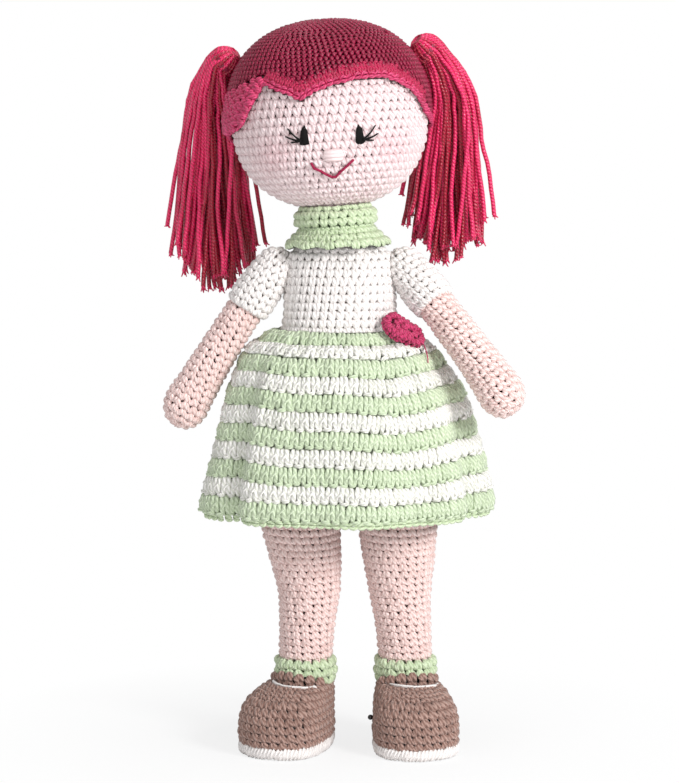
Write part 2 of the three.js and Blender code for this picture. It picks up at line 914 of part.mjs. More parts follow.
for (const shoulder of shoulders) {
  const group = new THREE.Group();
  group.position.set(shoulder.x, 0, shoulderHeight);
  group.rotation.set(shoulder.swing, shoulder.splay, 0);
  doll.add(group);
  group.updateMatrix();
  const bowAt = (length) =>
    shoulder.side * armBow * Math.sin(Math.PI * Math.min(Math.max(length / armLength, 0), 1));
  const row = (length, radius) => limbRow(length, radius, bowAt(length));
  const ball = (inset) =>
    [1 / 3, 2 / 3].map((share) => {
      const tilt = (Math.PI / 2) * share;
      const radius = shoulderRadius - inset;
      return row(-radius * Math.cos(tilt), radius * Math.sin(tilt));
    });
  const ballTop = (inset) => new THREE.Vector3(0, 0, shoulderRadius - inset);
  const tip = (inset) => new THREE.Vector3(0, 0, inset - armLength);
  const forearm = (inset) =>
    armShares.map(([share, size]) =>
      row(share * (armLength - inset), size * handRadius - inset),
    );
  const descending = (rows, top, bottom) => solid(loft(rows.reverse(), bottom, top));
  const sleeveInner = armTuckRadius + clearance;
  const sleeveOuter = descending(
    [
      ...ball(0),
      row(0, shoulderRadius),
      row(sleeveLength * 0.4, sleeveRadius * 0.97),
      row(sleeveLength * 0.75, sleeveRadius),
      row(sleeveLength, sleeveRadius * 0.94),
    ],
    ballTop(0),
  );
  const hollowRadius = shoulderRadius - cloth;
  const sleeveHollow = descending(
    [
      ...ball(cloth),
      row(0, hollowRadius),
      row(sleeveLength * 0.75, hollowRadius + clearance),
      row(sleeveLength * 0.76, sleeveInner),
      row(sleeveLength + overrun, sleeveInner),
    ],
    ballTop(cloth),
  );
  const inverse = group.matrix.clone().invert();
  const threadHere = solid(geometryOf(shoulderThread(shoulder, clearance)), inverse);
  add(group, "sleeve_" + shoulder.name, cut(sleeveOuter, sleeveHollow, threadHere), white);

  const tuckTop = sleeveLength * 0.8;
  const coverOuter = descending(
    [row(tuckTop, armTuckRadius), row(sleeveLength + clearance, armTuckRadius), ...forearm(0)],
    null,
    tip(0),
  );
  const coverHollow = descending(
    [
      row(tuckTop - overrun, armTuckRadius - cloth),
      row(sleeveLength + clearance, armTuckRadius - cloth),
      ...forearm(cloth),
    ],
    null,
    tip(cloth),
  );
  add(group, "arm_cover_" + shoulder.name, cut(coverOuter, coverHollow), limb);

  const inner = cloth + clearance;
  const stuffing = descending(
    [
      ...ball(inner),
      row(0, shoulderRadius - inner),
      row(sleeveLength * 0.72, shoulderRadius - inner),
      row(sleeveLength * 0.79, armTuckRadius - inner),
      row(sleeveLength + clearance, armTuckRadius - inner),
      ...forearm(inner),
    ],
    ballTop(inner),
    tip(inner),
  );
  add(group, "arm_stuffing_" + shoulder.name, cut(stuffing, threadHere), filling);
}

// Legs: share of hip height below the hip, and share of the thigh's radius
const legShares = [
  [0.15, 0.98],
  [0.337, 1],
  [0.43, 0.93],
  [0.547, 0.785],
  [0.64, 0.7],
  [0.745, 0.662],
  [0.8, 0.65],
];
const legDriftShares = {
  left: [[0, 0], [0.337, -0.003], [0.547, 0.021], [0.72, 0.011], [1, 0.011]],
  right: [[0, 0], [0.337, 0.035], [0.547, 0.043], [0.72, 0.059], [1, 0.059]],
};
const legSides = 12;

// Shoe outline as rings: share of height, share of the way to the ankle opening, inset share
const shoeShares = [
  [0.216, 0, 0.35],
  [0.35, 0, 0],
  [0.57, 0, 0.2],
  [0.73, 0.12, 0.1],
  [0.865, 0.38, 0],
  [0.965, 0.7, 0],
  [1, 1, 0],
];
const shoeSides = 16;

function shoeRing(height, toAnkle, inset) {
  return Array.from({ length: shoeSides }, (_, i) => {
    const turn = (2 * Math.PI * i) / shoeSides;
    const toeward = Math.min(Math.max((1 - 1.5 * Math.sin(turn)) / 2, 0), 1);
    const blend = toeward * toeward * (3 - 2 * toeward);
    const radius = heelRadius + (toeRadius - heelRadius) * blend - inset;
    const low = new THREE.Vector2(
      radius * Math.cos(turn),
      radius * Math.sin(turn) - toeReach * blend,
    );
    const high = new THREE.Vector2(
      (heelRadius - inset) * Math.cos(turn),
      (openingHalfDepth - inset) * Math.sin(turn) - openingForward,
    );
    const spot = low.lerp(high, toAnkle);
    return new THREE.Vector3(spot.x, spot.y, height);
  });
}

function shoeFrom(inset, bottom) {
  const rows = shoeShares.map(([rise, toAnkle, tuck], k) =>
    shoeRing(
      (k === 0 ? bottom : rise * shoeHeight) - inset * Math.min(toAnkle * 1.2, 1),
      toAnkle,
      inset + tuck * cloth,
    ),
  );
  return solid(loft(rows));
}

for (const hip of hips) {
  const group = new THREE.Group();
  group.position.set(hip.x, 0, hipHeight);
  doll.add(group);
  const drift = (share) => along(legDriftShares[hip.name], share) * hipHeight;
  const row = (share, radius) =>
    ring(new THREE.Vector3(drift(share), 0, -share * hipHeight), radius, radius, legSides);
  const ball = (inset) =>
    [1 / 4, 1 / 2, 3 / 4].map((part) => {
      const tilt = (Math.PI / 2) * part;
      const radius = hipRadius - inset;
      return ring(
        new THREE.Vector3(0, 0, radius * Math.cos(tilt)),
        radius * Math.sin(tilt),
        radius * Math.sin(tilt),
        legSides,
      );
    });
  const column = (inset, extra) =>
    solid(
      loft(
        [
          ...ball(inset),
          row(0, hipRadius - inset),
          ...legShares.map(([share, size]) => row(share, size * thighRadius - inset)),
          ...extra,
        ].reverse(),
        null,
        new THREE.Vector3(0, 0, hipRadius - inset),
      ),
    );
  const lowShare = legShares.at(-1)[0];
  const lowRadius = legShares.at(-1)[1] * thighRadius;
  const inner = cloth + clearance;
  const threadHere = solid(
    geometryOf(hipThread(clearance)),
    new THREE.Matrix4().makeTranslation(-hip.x, 0, -hipHeight),
  );
  const hollow = column(cloth, [row(lowShare + overrun / hipHeight, lowRadius - cloth)]);
  add(group, "leg_cover_" + hip.name, cut(column(0, []), hollow, threadHere), limb);

  const foot = new THREE.Group();
  foot.position.set(drift(1), 0, -hipHeight);
  foot.rotation.z = hip.toeOut;
  group.add(foot);
  foot.updateMatrix();
  const insoleTop = soleThickness + 2 * clearance + insoleThickness;
  const footFilling = solid(
    geometryOf(shoeFrom(shoeWall + clearance, insoleTop)),
    foot.matrix,
  );
  const ankleShare = (hipHeight - shoeHeight / 2) / hipHeight;
  const filling0 = column(inner, [row(ankleShare, lowRadius - inner)]);
  add(group, "leg_stuffing_" + hip.name, cut(joined(filling0, footFilling), threadHere), filling);

  // Sock cuff, tongue, shoe and sole
  const sockBottom = shoeHeight + clearance;
  const sockInner = ankleRadius + clearance;
  const sockRows = [
    [0, 0.97],
    [0.35, 1],
    [0.8, 0.98],
    [1, 0.93],
  ];
  const legInFoot = solid(
    geometryOf(column(-clearance, [])),
    foot.matrix.clone().invert(),
  );
  const sock = cut(
    solid(
      loft(
        sockRows.map(([share, size]) =>
          ring(
            new THREE.Vector3(0, 0, sockBottom + share * (sockTop - sockBottom)),
            size * sockRadius,
            size * sockRadius,
            14,
          ),
        ),
      ),
    ),
    upright(sockBottom - overrun, sockTop + overrun, sockInner, 14),
    legInFoot,
  );
  add(foot, "sock_" + hip.name, sock, mint);

  const openingInside = (grow) => {
    const halfX = heelRadius - shoeWall + grow;
    const halfY = openingHalfDepth - shoeWall + grow;
    const at = (height) =>
      ring(new THREE.Vector3(0, -openingForward, height), halfX, halfY, shoeSides);
    return solid(loft([at(shoeHeight - overrun), at(shoeHeight + overrun)]));
  };
  const upper = cut(
    shoeFrom(0, soleThickness + clearance),
    shoeFrom(shoeWall, soleThickness + clearance),
    solid(
      loft([
        shoeRing(soleThickness - overrun, 0, shoeWall + cloth / 3),
        shoeRing(soleThickness + overrun, 0, shoeWall + cloth / 3),
      ]),
    ),
    openingInside(0),
  );
  add(foot, "shoe_upper_" + hip.name, upper, brown);
  add(
    foot,
    "insole_" + hip.name,
    solid(
      loft([
        shoeRing(soleThickness + clearance, 0, shoeWall + cloth),
        shoeRing(soleThickness + clearance + insoleThickness, 0, shoeWall + cloth),
      ]),
    ),
    board,
  );
  add(
    foot,
    "sole_" + hip.name,
    solid(
      loft([
        shoeRing(0, 0, cloth * 1.4),
        shoeRing(soleThickness / 4, 0, cloth / 2),
        shoeRing(soleThickness, 0, 0),
      ]),
    ),
    white,
  );

  // Tongue: a curved flap between the sock and the front of the opening
  const tongueHalfAngle = Math.PI / 8;
  const tongueInner = sockRadius + clearance;
  const tongueThickness = 1.1;
  const tongueRise = 5;
  const tongueArc = (radius, steps = 6) =>
    Array.from({ length: steps + 1 }, (_, i) => {
      const turn = -Math.PI / 2 + tongueHalfAngle * ((2 * i) / steps - 1);
      return new THREE.Vector2(radius * Math.cos(turn), radius * Math.sin(turn));
    });
  const tongueOutline = new THREE.Shape([
    ...tongueArc(tongueInner + tongueThickness),
    ...tongueArc(tongueInner).reverse(),
  ]);
  const tongue = solid(
    new THREE.ExtrudeGeometry(tongueOutline, { depth: 2 * tongueRise, bevelEnabled: false }),
    new THREE.Matrix4().makeTranslation(0, 0, shoeHeight - tongueRise / 2),
  );
  add(
    foot,
    "tongue_" + hip.name,
    cut(tongue, solid(geometryOf(footFilling), foot.matrix.clone().invert())),
    brown,
  );

  // White yarn laid round the front of the opening
  const edgingSweep = Math.PI * 0.3;
  const edgingSteps = 12;
  const edgingPoints = Array.from({ length: edgingSteps + 1 }, (_, i) => {
    const turn = -Math.PI / 2 + edgingSweep * ((2 * i) / edgingSteps - 1);
    const lip = shoeWall / 3;
    return new THREE.Vector3(
      (heelRadius - lip) * Math.cos(turn),
      (openingHalfDepth - lip) * Math.sin(turn) - openingForward,
      shoeHeight + clearance + edgingRadius,
    );
  });
  const edgingSides = 5;
  const edgingSections = edgingPoints.map((p) => {
    const out = new THREE.Vector3(p.x, p.y + openingForward, 0).normalize();
    return Array.from({ length: edgingSides }, (_, i) => {
      const turn = (2 * Math.PI * i) / edgingSides;
      return p
        .clone()
        .addScaledVector(out, -edgingRadius * Math.cos(turn))
        .add(new THREE.Vector3(0, 0, edgingRadius * Math.sin(turn)));
    });
  });
  add(foot, "shoe_edging_" + hip.name, solid(loft(edgingSections)), white);

  // One shoe shows a small round bead on its inner side
  if (hip.name === "right") {
    const beadHeight = shoeHeight / 2;
    const spot = shoeRing(beadHeight, 0, 0)[shoeSides / 2];
    const bead = new THREE.Vector3(spot.x - beadRadius - clearance, spot.y, beadHeight);
    add(foot, "shoe_bead", sphere(bead, beadRadius, 10), black, 0.35);
  }
}

export default doll;
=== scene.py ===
from math import acos, cos, exp, hypot, pi, radians, sin, sqrt

import bmesh
import bpy
from mathutils import Matrix, Vector, noise


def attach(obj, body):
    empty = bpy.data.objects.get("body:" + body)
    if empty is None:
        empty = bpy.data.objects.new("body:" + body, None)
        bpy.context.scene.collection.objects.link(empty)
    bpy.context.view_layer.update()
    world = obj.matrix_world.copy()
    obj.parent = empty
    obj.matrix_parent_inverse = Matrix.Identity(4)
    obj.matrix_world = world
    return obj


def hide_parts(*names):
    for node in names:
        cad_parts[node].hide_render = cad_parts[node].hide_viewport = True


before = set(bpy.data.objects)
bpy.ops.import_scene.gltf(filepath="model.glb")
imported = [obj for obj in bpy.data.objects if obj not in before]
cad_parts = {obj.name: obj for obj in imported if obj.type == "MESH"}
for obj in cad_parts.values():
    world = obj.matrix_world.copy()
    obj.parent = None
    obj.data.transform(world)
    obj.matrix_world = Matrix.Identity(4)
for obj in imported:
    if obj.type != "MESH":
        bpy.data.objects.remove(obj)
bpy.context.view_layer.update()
scene = bpy.context.scene
scene.view_settings.view_transform = "Standard"


# Camera: a long lens a little above the doll's middle, tipped down, as in the photograph.
view_distance = 1.5
view_pitch = radians(6)
view_target = Vector((0, 0, 0.2025))
view_lens = bpy.data.cameras.new("view")
view_lens.sensor_width = 36
view_lens.lens = 121.9
camera = bpy.data.objects.new("view", view_lens)
camera.location = view_target + view_distance * Vector((0, -cos(view_pitch), sin(view_pitch)))
camera.rotation_euler = (pi / 2 - view_pitch, 0, 0)
scene.collection.objects.link(camera)
scene.camera = camera


# Studio: a white floor and surround, a large soft key on the right, weaker fills on the left and
# low in front, and a lamp overhead. The floor keeps a faint shadow of the shoes.
def softbox(name, place, size, power):
    lamp = bpy.data.lights.new(name, "AREA")
    lamp.shape = "DISK"
    lamp.size = size
    lamp.energy = power
    holder = bpy.data.objects.new(name, lamp)
    holder.location = place
    holder.rotation_euler = (Vector(place) - view_target).to_track_quat("Z", "Y").to_euler()
    scene.collection.objects.link(holder)


softbox("key", (1.15, -1.25, 0.95), size=0.55, power=26)
softbox("fill", (-1.3, -1.3, 0.7), size=1.1, power=2.6)
softbox("low", (0.15, -1.6, 0.1), size=0.9, power=4.6)
softbox("top", (0.1, -0.2, 1.7), size=0.9, power=6)


def wired(tree, kind, feeds=None, **settings):
    """New node with its settings. The feeds are its inputs: values or other nodes' outputs."""
    node = tree.nodes.new(kind)
    for setting, value in settings.items():
        setattr(node, setting, value)
    for label, value in (feeds or {}).items():
        if isinstance(value, bpy.types.NodeSocket):
            tree.links.new(value, node.inputs[label])
        else:
            node.inputs[label].default_value = value
    return node


def empty_tree(owner):
    """Node tree of a world or a material, with nothing in it."""
    owner.use_nodes = True
    owner.node_tree.nodes.clear()
    return owner.node_tree


def seen_directly(tree):
    """1 for rays from the camera and for what gloss or glass shows of the surround."""
    path = wired(tree, "ShaderNodeLightPath")
    seen = path.outputs["Is Camera Ray"]
    for ray in ("Is Glossy Ray", "Is Transmission Ray"):
        seen = wired(tree, "ShaderNodeMath", {0: seen, 1: path.outputs[ray]}, operation="MAXIMUM").outputs[0]
    return seen


scene.world = bpy.data.worlds.new("studio")
tree = empty_tree(scene.world)
ambient = wired(tree, "ShaderNodeBackground", {"Color": (0.96, 0.98, 1.0, 1), "Strength": 0.45})
surround = wired(tree, "ShaderNodeBackground", {"Color": (1, 1, 1, 1), "Strength": 1})
chosen = wired(tree, "ShaderNodeMixShader", {
    0: seen_directly(tree), 1: ambient.outputs[0], 2: surround.outputs[0],
})
wired(tree, "ShaderNodeOutputWorld", {"Surface": chosen.outputs[0]})


def ringed(radius, turn, height):
    """Place on a level ring round the origin."""
    return Vector((radius * cos(turn), radius * sin(turn), height))


floor_radius = 3.0
floor_sides = 64
floor_mesh = bpy.data.meshes.new("floor")
floor_rim = [ringed(floor_radius, 2 * pi * i / floor_sides, 0) for i in range(floor_sides)]
floor_mesh.from_pydata(floor_rim, [], [list(range(floor_sides))])
floor = bpy.data.objects.new("floor", floor_mesh)
scene.collection.objects.link(floor)
floor_finish = bpy.data.materials.new("white floor")
tree = empty_tree(floor_finish)
matt = wired(tree, "ShaderNodeBsdfDiffuse", {"Color": (0.9, 0.9, 0.9, 1)})
glow = wired(tree, "ShaderNodeEmission", {"Strength": 1})
floor_place = wired(tree, "ShaderNodeTexCoord")
far_off = wired(tree, "ShaderNodeVectorMath", {0: floor_place.outputs["Object"]}, operation="LENGTH")
glow_by_distance = wired(tree, "ShaderNodeMapRange", {
    "Value": far_off.outputs["Value"], "From Min": 0.08, "From Max": 0.24, "To Min": 0.8, "To Max": 1.0,
})
share_of_glow = wired(tree, "ShaderNodeMath", {
    0: seen_directly(tree), 1: glow_by_distance.outputs[0],
}, operation="MULTIPLY")
floor_mix = wired(tree, "ShaderNodeMixShader", {
    0: share_of_glow.outputs[0], 1: matt.outputs[0], 2: glow.outputs[0],
})
wired(tree, "ShaderNodeOutputMaterial", {"Surface": floor_mix.outputs[0]})
floor_mesh.materials.append(floor_finish)


# Legs: stuffed tubes of pale pink cotton yarn, crocheted in rounds from the hip down to the
# ankle, one at each side and strung through the hip. The stitch, the yarn and the way of
# laying rounds are made here and used by every crocheted piece.
hip_height = 0.196
hip_radius = 0.0203
thigh_radius = 0.0216
hip_x = {"left": -0.0215, "right": 0.026}
leg_shares = [
    (0.15, 0.98), (0.337, 1), (0.43, 0.93), (0.547, 0.785), (0.64, 0.7), (0.745, 0.662), (0.8, 0.65),
]
leg_drift = {
    "left": [(0, 0), (0.337, -0.003), (0.547, 0.021), (0.72, 0.011), (1, 0.011)],
    "right": [(0, 0), (0.337, 0.035), (0.547, 0.043), (0.72, 0.059), (1, 0.059)],
}
leg_inset = 0.0014
width_slack = 0.09


def paint(text):
    """Linear colour from a hex one."""
    parts = [int(text[i:i + 2], 16) / 255 for i in (0, 2, 4)]
    return tuple(c / 12.92 if c <= 0.04045 else ((c + 0.055) / 1.055) ** 2.4 for c in parts) + (1,)


def spline(rows, share):
    """Row at a share of the way along a smooth curve through the rows."""
    place = min(max(share, 0), 1) * (len(rows) - 1)
    low = min(int(place), len(rows) - 2)
    t = place - low
    a, b = rows[low], rows[low + 1]
    before = rows[low - 1] if low > 0 else [2 * p - q for p, q in zip(a, b)]
    after = rows[low + 2] if low + 2 < len(rows) else [2 * q - p for p, q in zip(a, b)]
    return [
        p + 0.5 * t * (q - o + t * (2 * o - 5 * p + 4 * q - r + t * (3 * (p - q) + r - o)))
        for o, p, q, r in zip(before, a, b, after)
    ]


def between(table, share):
    """Value of a table of (share, value) rows by straight steps."""
    for (s0, v0), (s1, v1) in zip(table, table[1:]):
        if share <= s1:
            return v0 + (v1 - v0) * max(share - s0, 0) / (s1 - s0)
    return table[-1][1]


def pattern_object(name, mesh):
    """Holder of a mesh that only other pieces use. It isn't in the scene itself."""
    return bpy.data.objects.new(name, mesh)


def new_piece(name, mesh, finish=None):
    """Piece in the scene, with its material."""
    piece = bpy.data.objects.new(name, mesh)
    scene.collection.objects.link(piece)
    if finish:
        mesh.materials.append(finish)
    return piece


def store(mesh, label, values):
    """Attribute of a mesh's points, of numbers or of vectors."""
    vectors = isinstance(values[0], (tuple, Vector))
    layer = mesh.attributes.new(label, "FLOAT_VECTOR" if vectors else "FLOAT", "POINT")
    if vectors:
        layer.data.foreach_set("vector", [part for value in values for part in value])
    else:
        layer.data.foreach_set("value", values)


def yarn_mesh(name, strands, sides=5, steps=5):
    """Tubes of yarn through rows of (x, y, z, radius). The yarn attribute holds the turn round
    the tube as cosine and sine, and the length run, for the twist of the plies."""
    vertices, faces, yarn = [], [], []
    for strand in strands:
        rows = [spline(strand, k / steps) for k in range(steps + 1)]
        start = len(vertices)
        run = 0.0
        side = None
        for k, row in enumerate(rows):
            centre = Vector(row[:3])
            ahead = Vector(rows[min(k + 1, steps)][:3]) - Vector(rows[max(k - 1, 0)][:3])
            ahead.normalize()
            side = ahead.orthogonal() if side is None else side - ahead * side.dot(ahead)
            side.normalize()
            up = ahead.cross(side)
            if k:
                run += (centre - Vector(rows[k - 1][:3])).length
            for i in range(sides):
                turn = 2 * pi * i / sides
                vertices.append(centre + row[3] * (cos(turn) * side + sin(turn) * up))
                yarn.append((cos(turn), sin(turn), run))
        for k in range(steps):
            for i in range(sides):
                a = start + k * sides + i
                b = start + k * sides + (i + 1) % sides
                faces.append((a, b, b + sides, a + sides))
        faces.append([start + i for i in reversed(range(sides))])
        faces.append([start + steps * sides + i for i in range(sides)])
    mesh = bpy.data.meshes.new(name)
    mesh.from_pydata(vertices, [], faces)
    store(mesh, "yarn", yarn)
    # The surface mark keeps the wall's painted shade off the yarn itself.
    store(mesh, "surface", [1.0] * len(vertices))
    mesh.shade_smooth()
    return mesh


# Single crochet: two plump legs side by side out of one hole, and the top loop beside them
single_stitch = pattern_object("single stitch", yarn_mesh("single stitch", [
    [(-0.02, -0.49, -0.18, 0.17), (-0.12, -0.30, 0.08, 0.28), (-0.20, -0.03, 0.16, 0.32),
     (-0.23, 0.28, 0.10, 0.31), (-0.26, 0.56, -0.14, 0.24)],
    [(0.08, -0.49, -0.18, 0.17), (0.14, -0.28, 0.10, 0.28), (0.18, -0.03, 0.18, 0.32),
     (0.21, 0.28, 0.12, 0.31), (0.24, 0.56, -0.14, 0.24)],
    [(0.26, 0.54, -0.10, 0.17), (0.40, 0.42, 0.12, 0.22), (0.50, 0.22, 0.17, 0.21),
     (0.52, 0.02, 0.08, 0.17), (0.55, -0.10, -0.12, 0.12)],
]))


def facing(skin, share, turn, sense):
    """Directions across the stitch and out of the surface. sense is 1 where share rises."""
    across = skin(share, turn + 0.01) - skin(share, turn - 0.01)
    rising = skin(min(share + 0.002, 1), turn) - skin(max(share - 0.002, 0), turn)
    outward = sense * across.cross(rising)
    return sense * across.normalized(), outward.normalized()


def lay_rounds(
    skin, tall, wide, sense=1, first=0.0, last=1.0, rounds=None, keep=None, slip=0.1, colour=None,
):
    """Stitches in rounds over skin(share, turn), as rows of place, across, outward, size and
    colour share. A round keeps the count of the one before while its stitches stay near their
    width, and where the surface is longer a round is worked as short rows."""
    shares = [first + (last - first) * k / 200 for k in range(201)]
    lengths = [0.0]
    for a, b in zip(shares, shares[1:]):
        apart = sum((skin(b, pi * m / 3) - skin(a, pi * m / 3)).length for m in range(6)) / 6
        lengths.append(lengths[-1] + apart)
    rounds = rounds or max(1, round(lengths[-1] / tall))
    height = lengths[-1] / rounds
    run_share = list(zip(lengths, shares))
    stitches = []
    count = 0
    for row in range(rounds):
        start, share, end = (between(run_share, (row + part) * height) for part in (0, 0.5, 1))
        loop = [skin(share, 2 * pi * i / 60) for i in range(61)]
        run = [0.0]
        for p, q in zip(loop, loop[1:]):
            run.append(run[-1] + (q - p).length)
        turns = [(length, 2 * pi * i / 60) for i, length in enumerate(run)]
        if not count or abs(run[-1] / count - wide) > width_slack * wide:
            count = max(5, round(run[-1] / wide))
        width = run[-1] / count
        for i in range(count):
            turn = between(turns, width * ((i + slip * row) % count))
            tall_here = (skin(end, turn) - skin(start, turn)).length
            layers = max(1, round(tall_here / height))
            for layer in range(layers):
                share = between(run_share, (row + (layer + 0.5) / layers) * height)
                place = skin(share, turn)
                if keep and not keep(place):
                    continue
                across, outward = facing(skin, share, turn, sense)
                shade = colour(row, place) if colour else 0.0
                stitches.append((place, across, outward, (width, tall_here / layers, wide), shade))
    return stitches


# The wall carries no surface mark, so the yarn's finish gives it the painted shade of its under shade
# colour.
def wall(name, skin, inset, rows, sides, sense=1, first=0.0, last=1.0, colour=None, thickness=0):
    """Knitted wall that shows between the stitches: rings over skin, a little under it. It is
    closed at its ends, or with a thickness it is a tube with an inner side and two rims."""
    vertices, faces, shades = [], [], []
    steps = [(k, inset) for k in range(rows + 1)]
    if thickness:
        steps += [(k, inset + thickness) for k in reversed(range(rows + 1))]
    for k, depth in steps:
        share = first + (last - first) * k / rows
        for i in range(sides):
            turn = 2 * pi * i / sides
            outward = facing(skin, share, turn, sense)[1]
            vertices.append(skin(share, turn) - depth * outward)
            shades.append(colour(share) if colour else 0.0)
    for k in range(len(steps) if thickness else rows):
        for i in range(sides):
            low = k * sides
            high = (k + 1) % len(steps) * sides
            j = (i + 1) % sides
            faces.append((low + i, low + j, high + j, high + i)[::sense])
    if not thickness:
        faces.append([i for i in range(sides)][::-sense])
        faces.append([rows * sides + i for i in range(sides)][::sense])
    mesh = bpy.data.meshes.new(name)
    mesh.from_pydata(vertices, [], faces)
    store(mesh, "stripe", shades)
    mesh.shade_smooth()
    return mesh


# Stitches set on their places by one tree of nodes: each is turned to the surface, scaled to
# its round and made a little uneven, then joined to the wall.
def node_group(name, kind, inputs, outputs):
    """Tree with its sockets, given as rows of label, kind and start."""
    tree = bpy.data.node_groups.new(name, kind)
    for way, rows in (("INPUT", inputs), ("OUTPUT", outputs)):
        for label, kind_here, *start in rows:
            kind_here = "NodeSocket" + kind_here
            socket = tree.interface.new_socket(name=label, in_out=way, socket_type=kind_here)
            if start:
                socket.default_value = start[0]
    return tree


crochet = node_group("crochet rounds", "GeometryNodeTree", (
    ("Places", "Geometry"), ("Stitch", "Object"), ("Wall", "Object"), ("Yarn", "Material"),
    ("Unevenness", "Float", 0.07), ("Seed", "Int", 1),
), (("Fabric", "Geometry"),))
given = wired(crochet, "NodeGroupInput").outputs


def stored(tree, label, kind="FLOAT_VECTOR"):
    """What an attribute of the points says."""
    reader = wired(tree, "GeometryNodeInputNamedAttribute", {"Name": label}, data_type=kind)
    return reader.outputs["Attribute"]


def spread(low, high, offset):
    """Random vector between two shares of the unevenness, with its own seed."""
    low, high = (
        wired(crochet, "ShaderNodeVectorMath", {
            0: (share, share, share), "Scale": given["Unevenness"],
        }, operation="SCALE").outputs[0]
        for share in (low, high)
    )
    seed = wired(crochet, "ShaderNodeMath", {0: given["Seed"], 1: offset}).outputs[0]
    feeds = {0: low, 1: high, "Seed": seed}
    return wired(crochet, "FunctionNodeRandomValue", feeds, data_type="FLOAT_VECTOR").outputs[0]


turned = wired(crochet, "FunctionNodeAxesToRotation", {
    "Primary Axis": stored(crochet, "outward"), "Secondary Axis": stored(crochet, "across"),
}, primary_axis="Z", secondary_axis="X")
tilt = wired(crochet, "FunctionNodeEulerToRotation", {0: spread(-2.2, 2.2, 10)})
leaning = wired(crochet, "FunctionNodeRotateRotation", {
    "Rotation": turned.outputs[0], "Rotate By": tilt.outputs[0],
}, rotation_space="LOCAL")
size = stored(crochet, "size")
grown = wired(crochet, "ShaderNodeVectorMath", {
    0: size, 1: spread(-1, 1, 20), 2: size,
}, operation="MULTIPLY_ADD")
pattern = wired(crochet, "GeometryNodeObjectInfo", {"Object": given["Stitch"]})
placed = wired(crochet, "GeometryNodeInstanceOnPoints", {
    "Points": given["Places"], "Instance": pattern.outputs["Geometry"], "Rotation": leaning.outputs[0],
    "Scale": grown.outputs[0],
})
tone = wired(crochet, "FunctionNodeRandomValue", {"Seed": given["Seed"]}, data_type="FLOAT")
toned = wired(crochet, "GeometryNodeStoreNamedAttribute", {
    "Name": "tone", "Geometry": placed.outputs[0], "Value": tone.outputs[1],
}, data_type="FLOAT", domain="INSTANCE")
real = wired(crochet, "GeometryNodeRealizeInstances", {0: toned.outputs[0]})
behind = wired(crochet, "GeometryNodeObjectInfo", {"Object": given["Wall"]})
together = wired(crochet, "GeometryNodeJoinGeometry", {0: real.outputs[0]})
crochet.links.new(behind.outputs["Geometry"], together.inputs[0])
coated = wired(crochet, "GeometryNodeSetMaterial", {
    "Geometry": together.outputs[0], "Material": given["Yarn"],
})
wired(crochet, "NodeGroupOutput", {0: coated.outputs[0]})


def settled(piece, modifier):
    """The piece takes the mesh that its modifier makes, and the modifier goes."""
    graph = bpy.context.evaluated_depsgraph_get()
    made = bpy.data.meshes.new_from_object(piece.evaluated_get(graph))
    piece.modifiers.remove(modifier)
    piece.data = made
    made.name = piece.name
    return piece


def worked(piece, tree, values):
    """The piece as a tree of nodes makes it from its own mesh and the named values."""
    maker = piece.modifiers.new(tree.name, "NODES")
    maker.node_group = tree
    for label, value in values.items():
        maker[tree.interface.items_tree[label].identifier] = value
    return settled(piece, maker)


def crocheted(name, stitches, stitch, wall_mesh, yarn, seed=1, unevenness=0.07):
    """One mesh of stitches and wall, made by the tree above."""
    places = bpy.data.meshes.new(name)
    places.from_pydata([s[0] for s in stitches], [], [])
    for label, column in (("across", 1), ("outward", 2), ("size", 3), ("stripe", 4)):
        store(places, label, [s[column] for s in stitches])
    piece = worked(new_piece(name, places), crochet, {
        "Stitch": stitch, "Wall": pattern_object(name + " wall", wall_mesh) if wall_mesh else None,
        "Yarn": yarn, "Seed": seed, "Unevenness": unevenness,
    })
    for label in ("across", "outward", "size"):
        if label in piece.data.attributes:
            piece.data.attributes.remove(piece.data.attributes[label])
    return piece


def in_rounds(name, skin, yarn, seed, sense, stitches, behind):
    """Piece of single stitches laid in rounds over a skin, with a wall behind them."""
    laid = lay_rounds(skin, sense=sense, **stitches)
    backing = wall(name + " wall", skin, sense=sense, **behind)
    return crocheted(name, laid, single_stitch, backing, yarn, seed)


def worn_by(piece, body, slot, *nodes_replaced):
    """The piece rides on a body and stands for its CAD nodes. The slot is not used."""
    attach(piece, body)
    if nodes_replaced:
        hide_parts(*nodes_replaced)


# The finish of every yarn: its plies wind round each strand with painted shade in the grooves
# between them, the fibres make a fine uneven nap, each stitch is a tone of its own, and the wall
# under the stitches is darker with painted shade.
plies = node_group("yarn finish", "ShaderNodeTree", (
    ("Colour", "Color"), ("Second colour", "Color"), ("Groove shade", "Color"), ("Under shade", "Color"),
    ("Plies", "Float"), ("Twist", "Float"), ("Uneven tone", "Float"), ("Shine", "Float"),
), (("Colour", "Color"), ("Height", "Float"), ("Roughness", "Float")))
given = wired(plies, "NodeGroupInput").outputs


def number(operation, *values):
    """Result of a sum on numbers or other nodes' outputs."""
    return wired(plies, "ShaderNodeMath", dict(enumerate(values)), operation=operation).outputs[0]


def named(label, output="Fac"):
    """What an attribute of the mesh says."""
    return wired(plies, "ShaderNodeAttribute", attribute_name=label).outputs[output]


def blended(factor, first, second, how="MIX"):
    """Two colours mixed."""
    feeds = {0: factor, 6: first, 7: second}
    return wired(plies, "ShaderNodeMix", feeds, data_type="RGBA", blend_type=how).outputs[2]


def noise_of(scale, detail):
    """Noise in the piece's own space."""
    place = wired(plies, "ShaderNodeTexCoord").outputs["Object"]
    feeds = {"Vector": place, "Scale": scale, "Detail": detail}
    return wired(plies, "ShaderNodeTexNoise", feeds).outputs["Fac"]


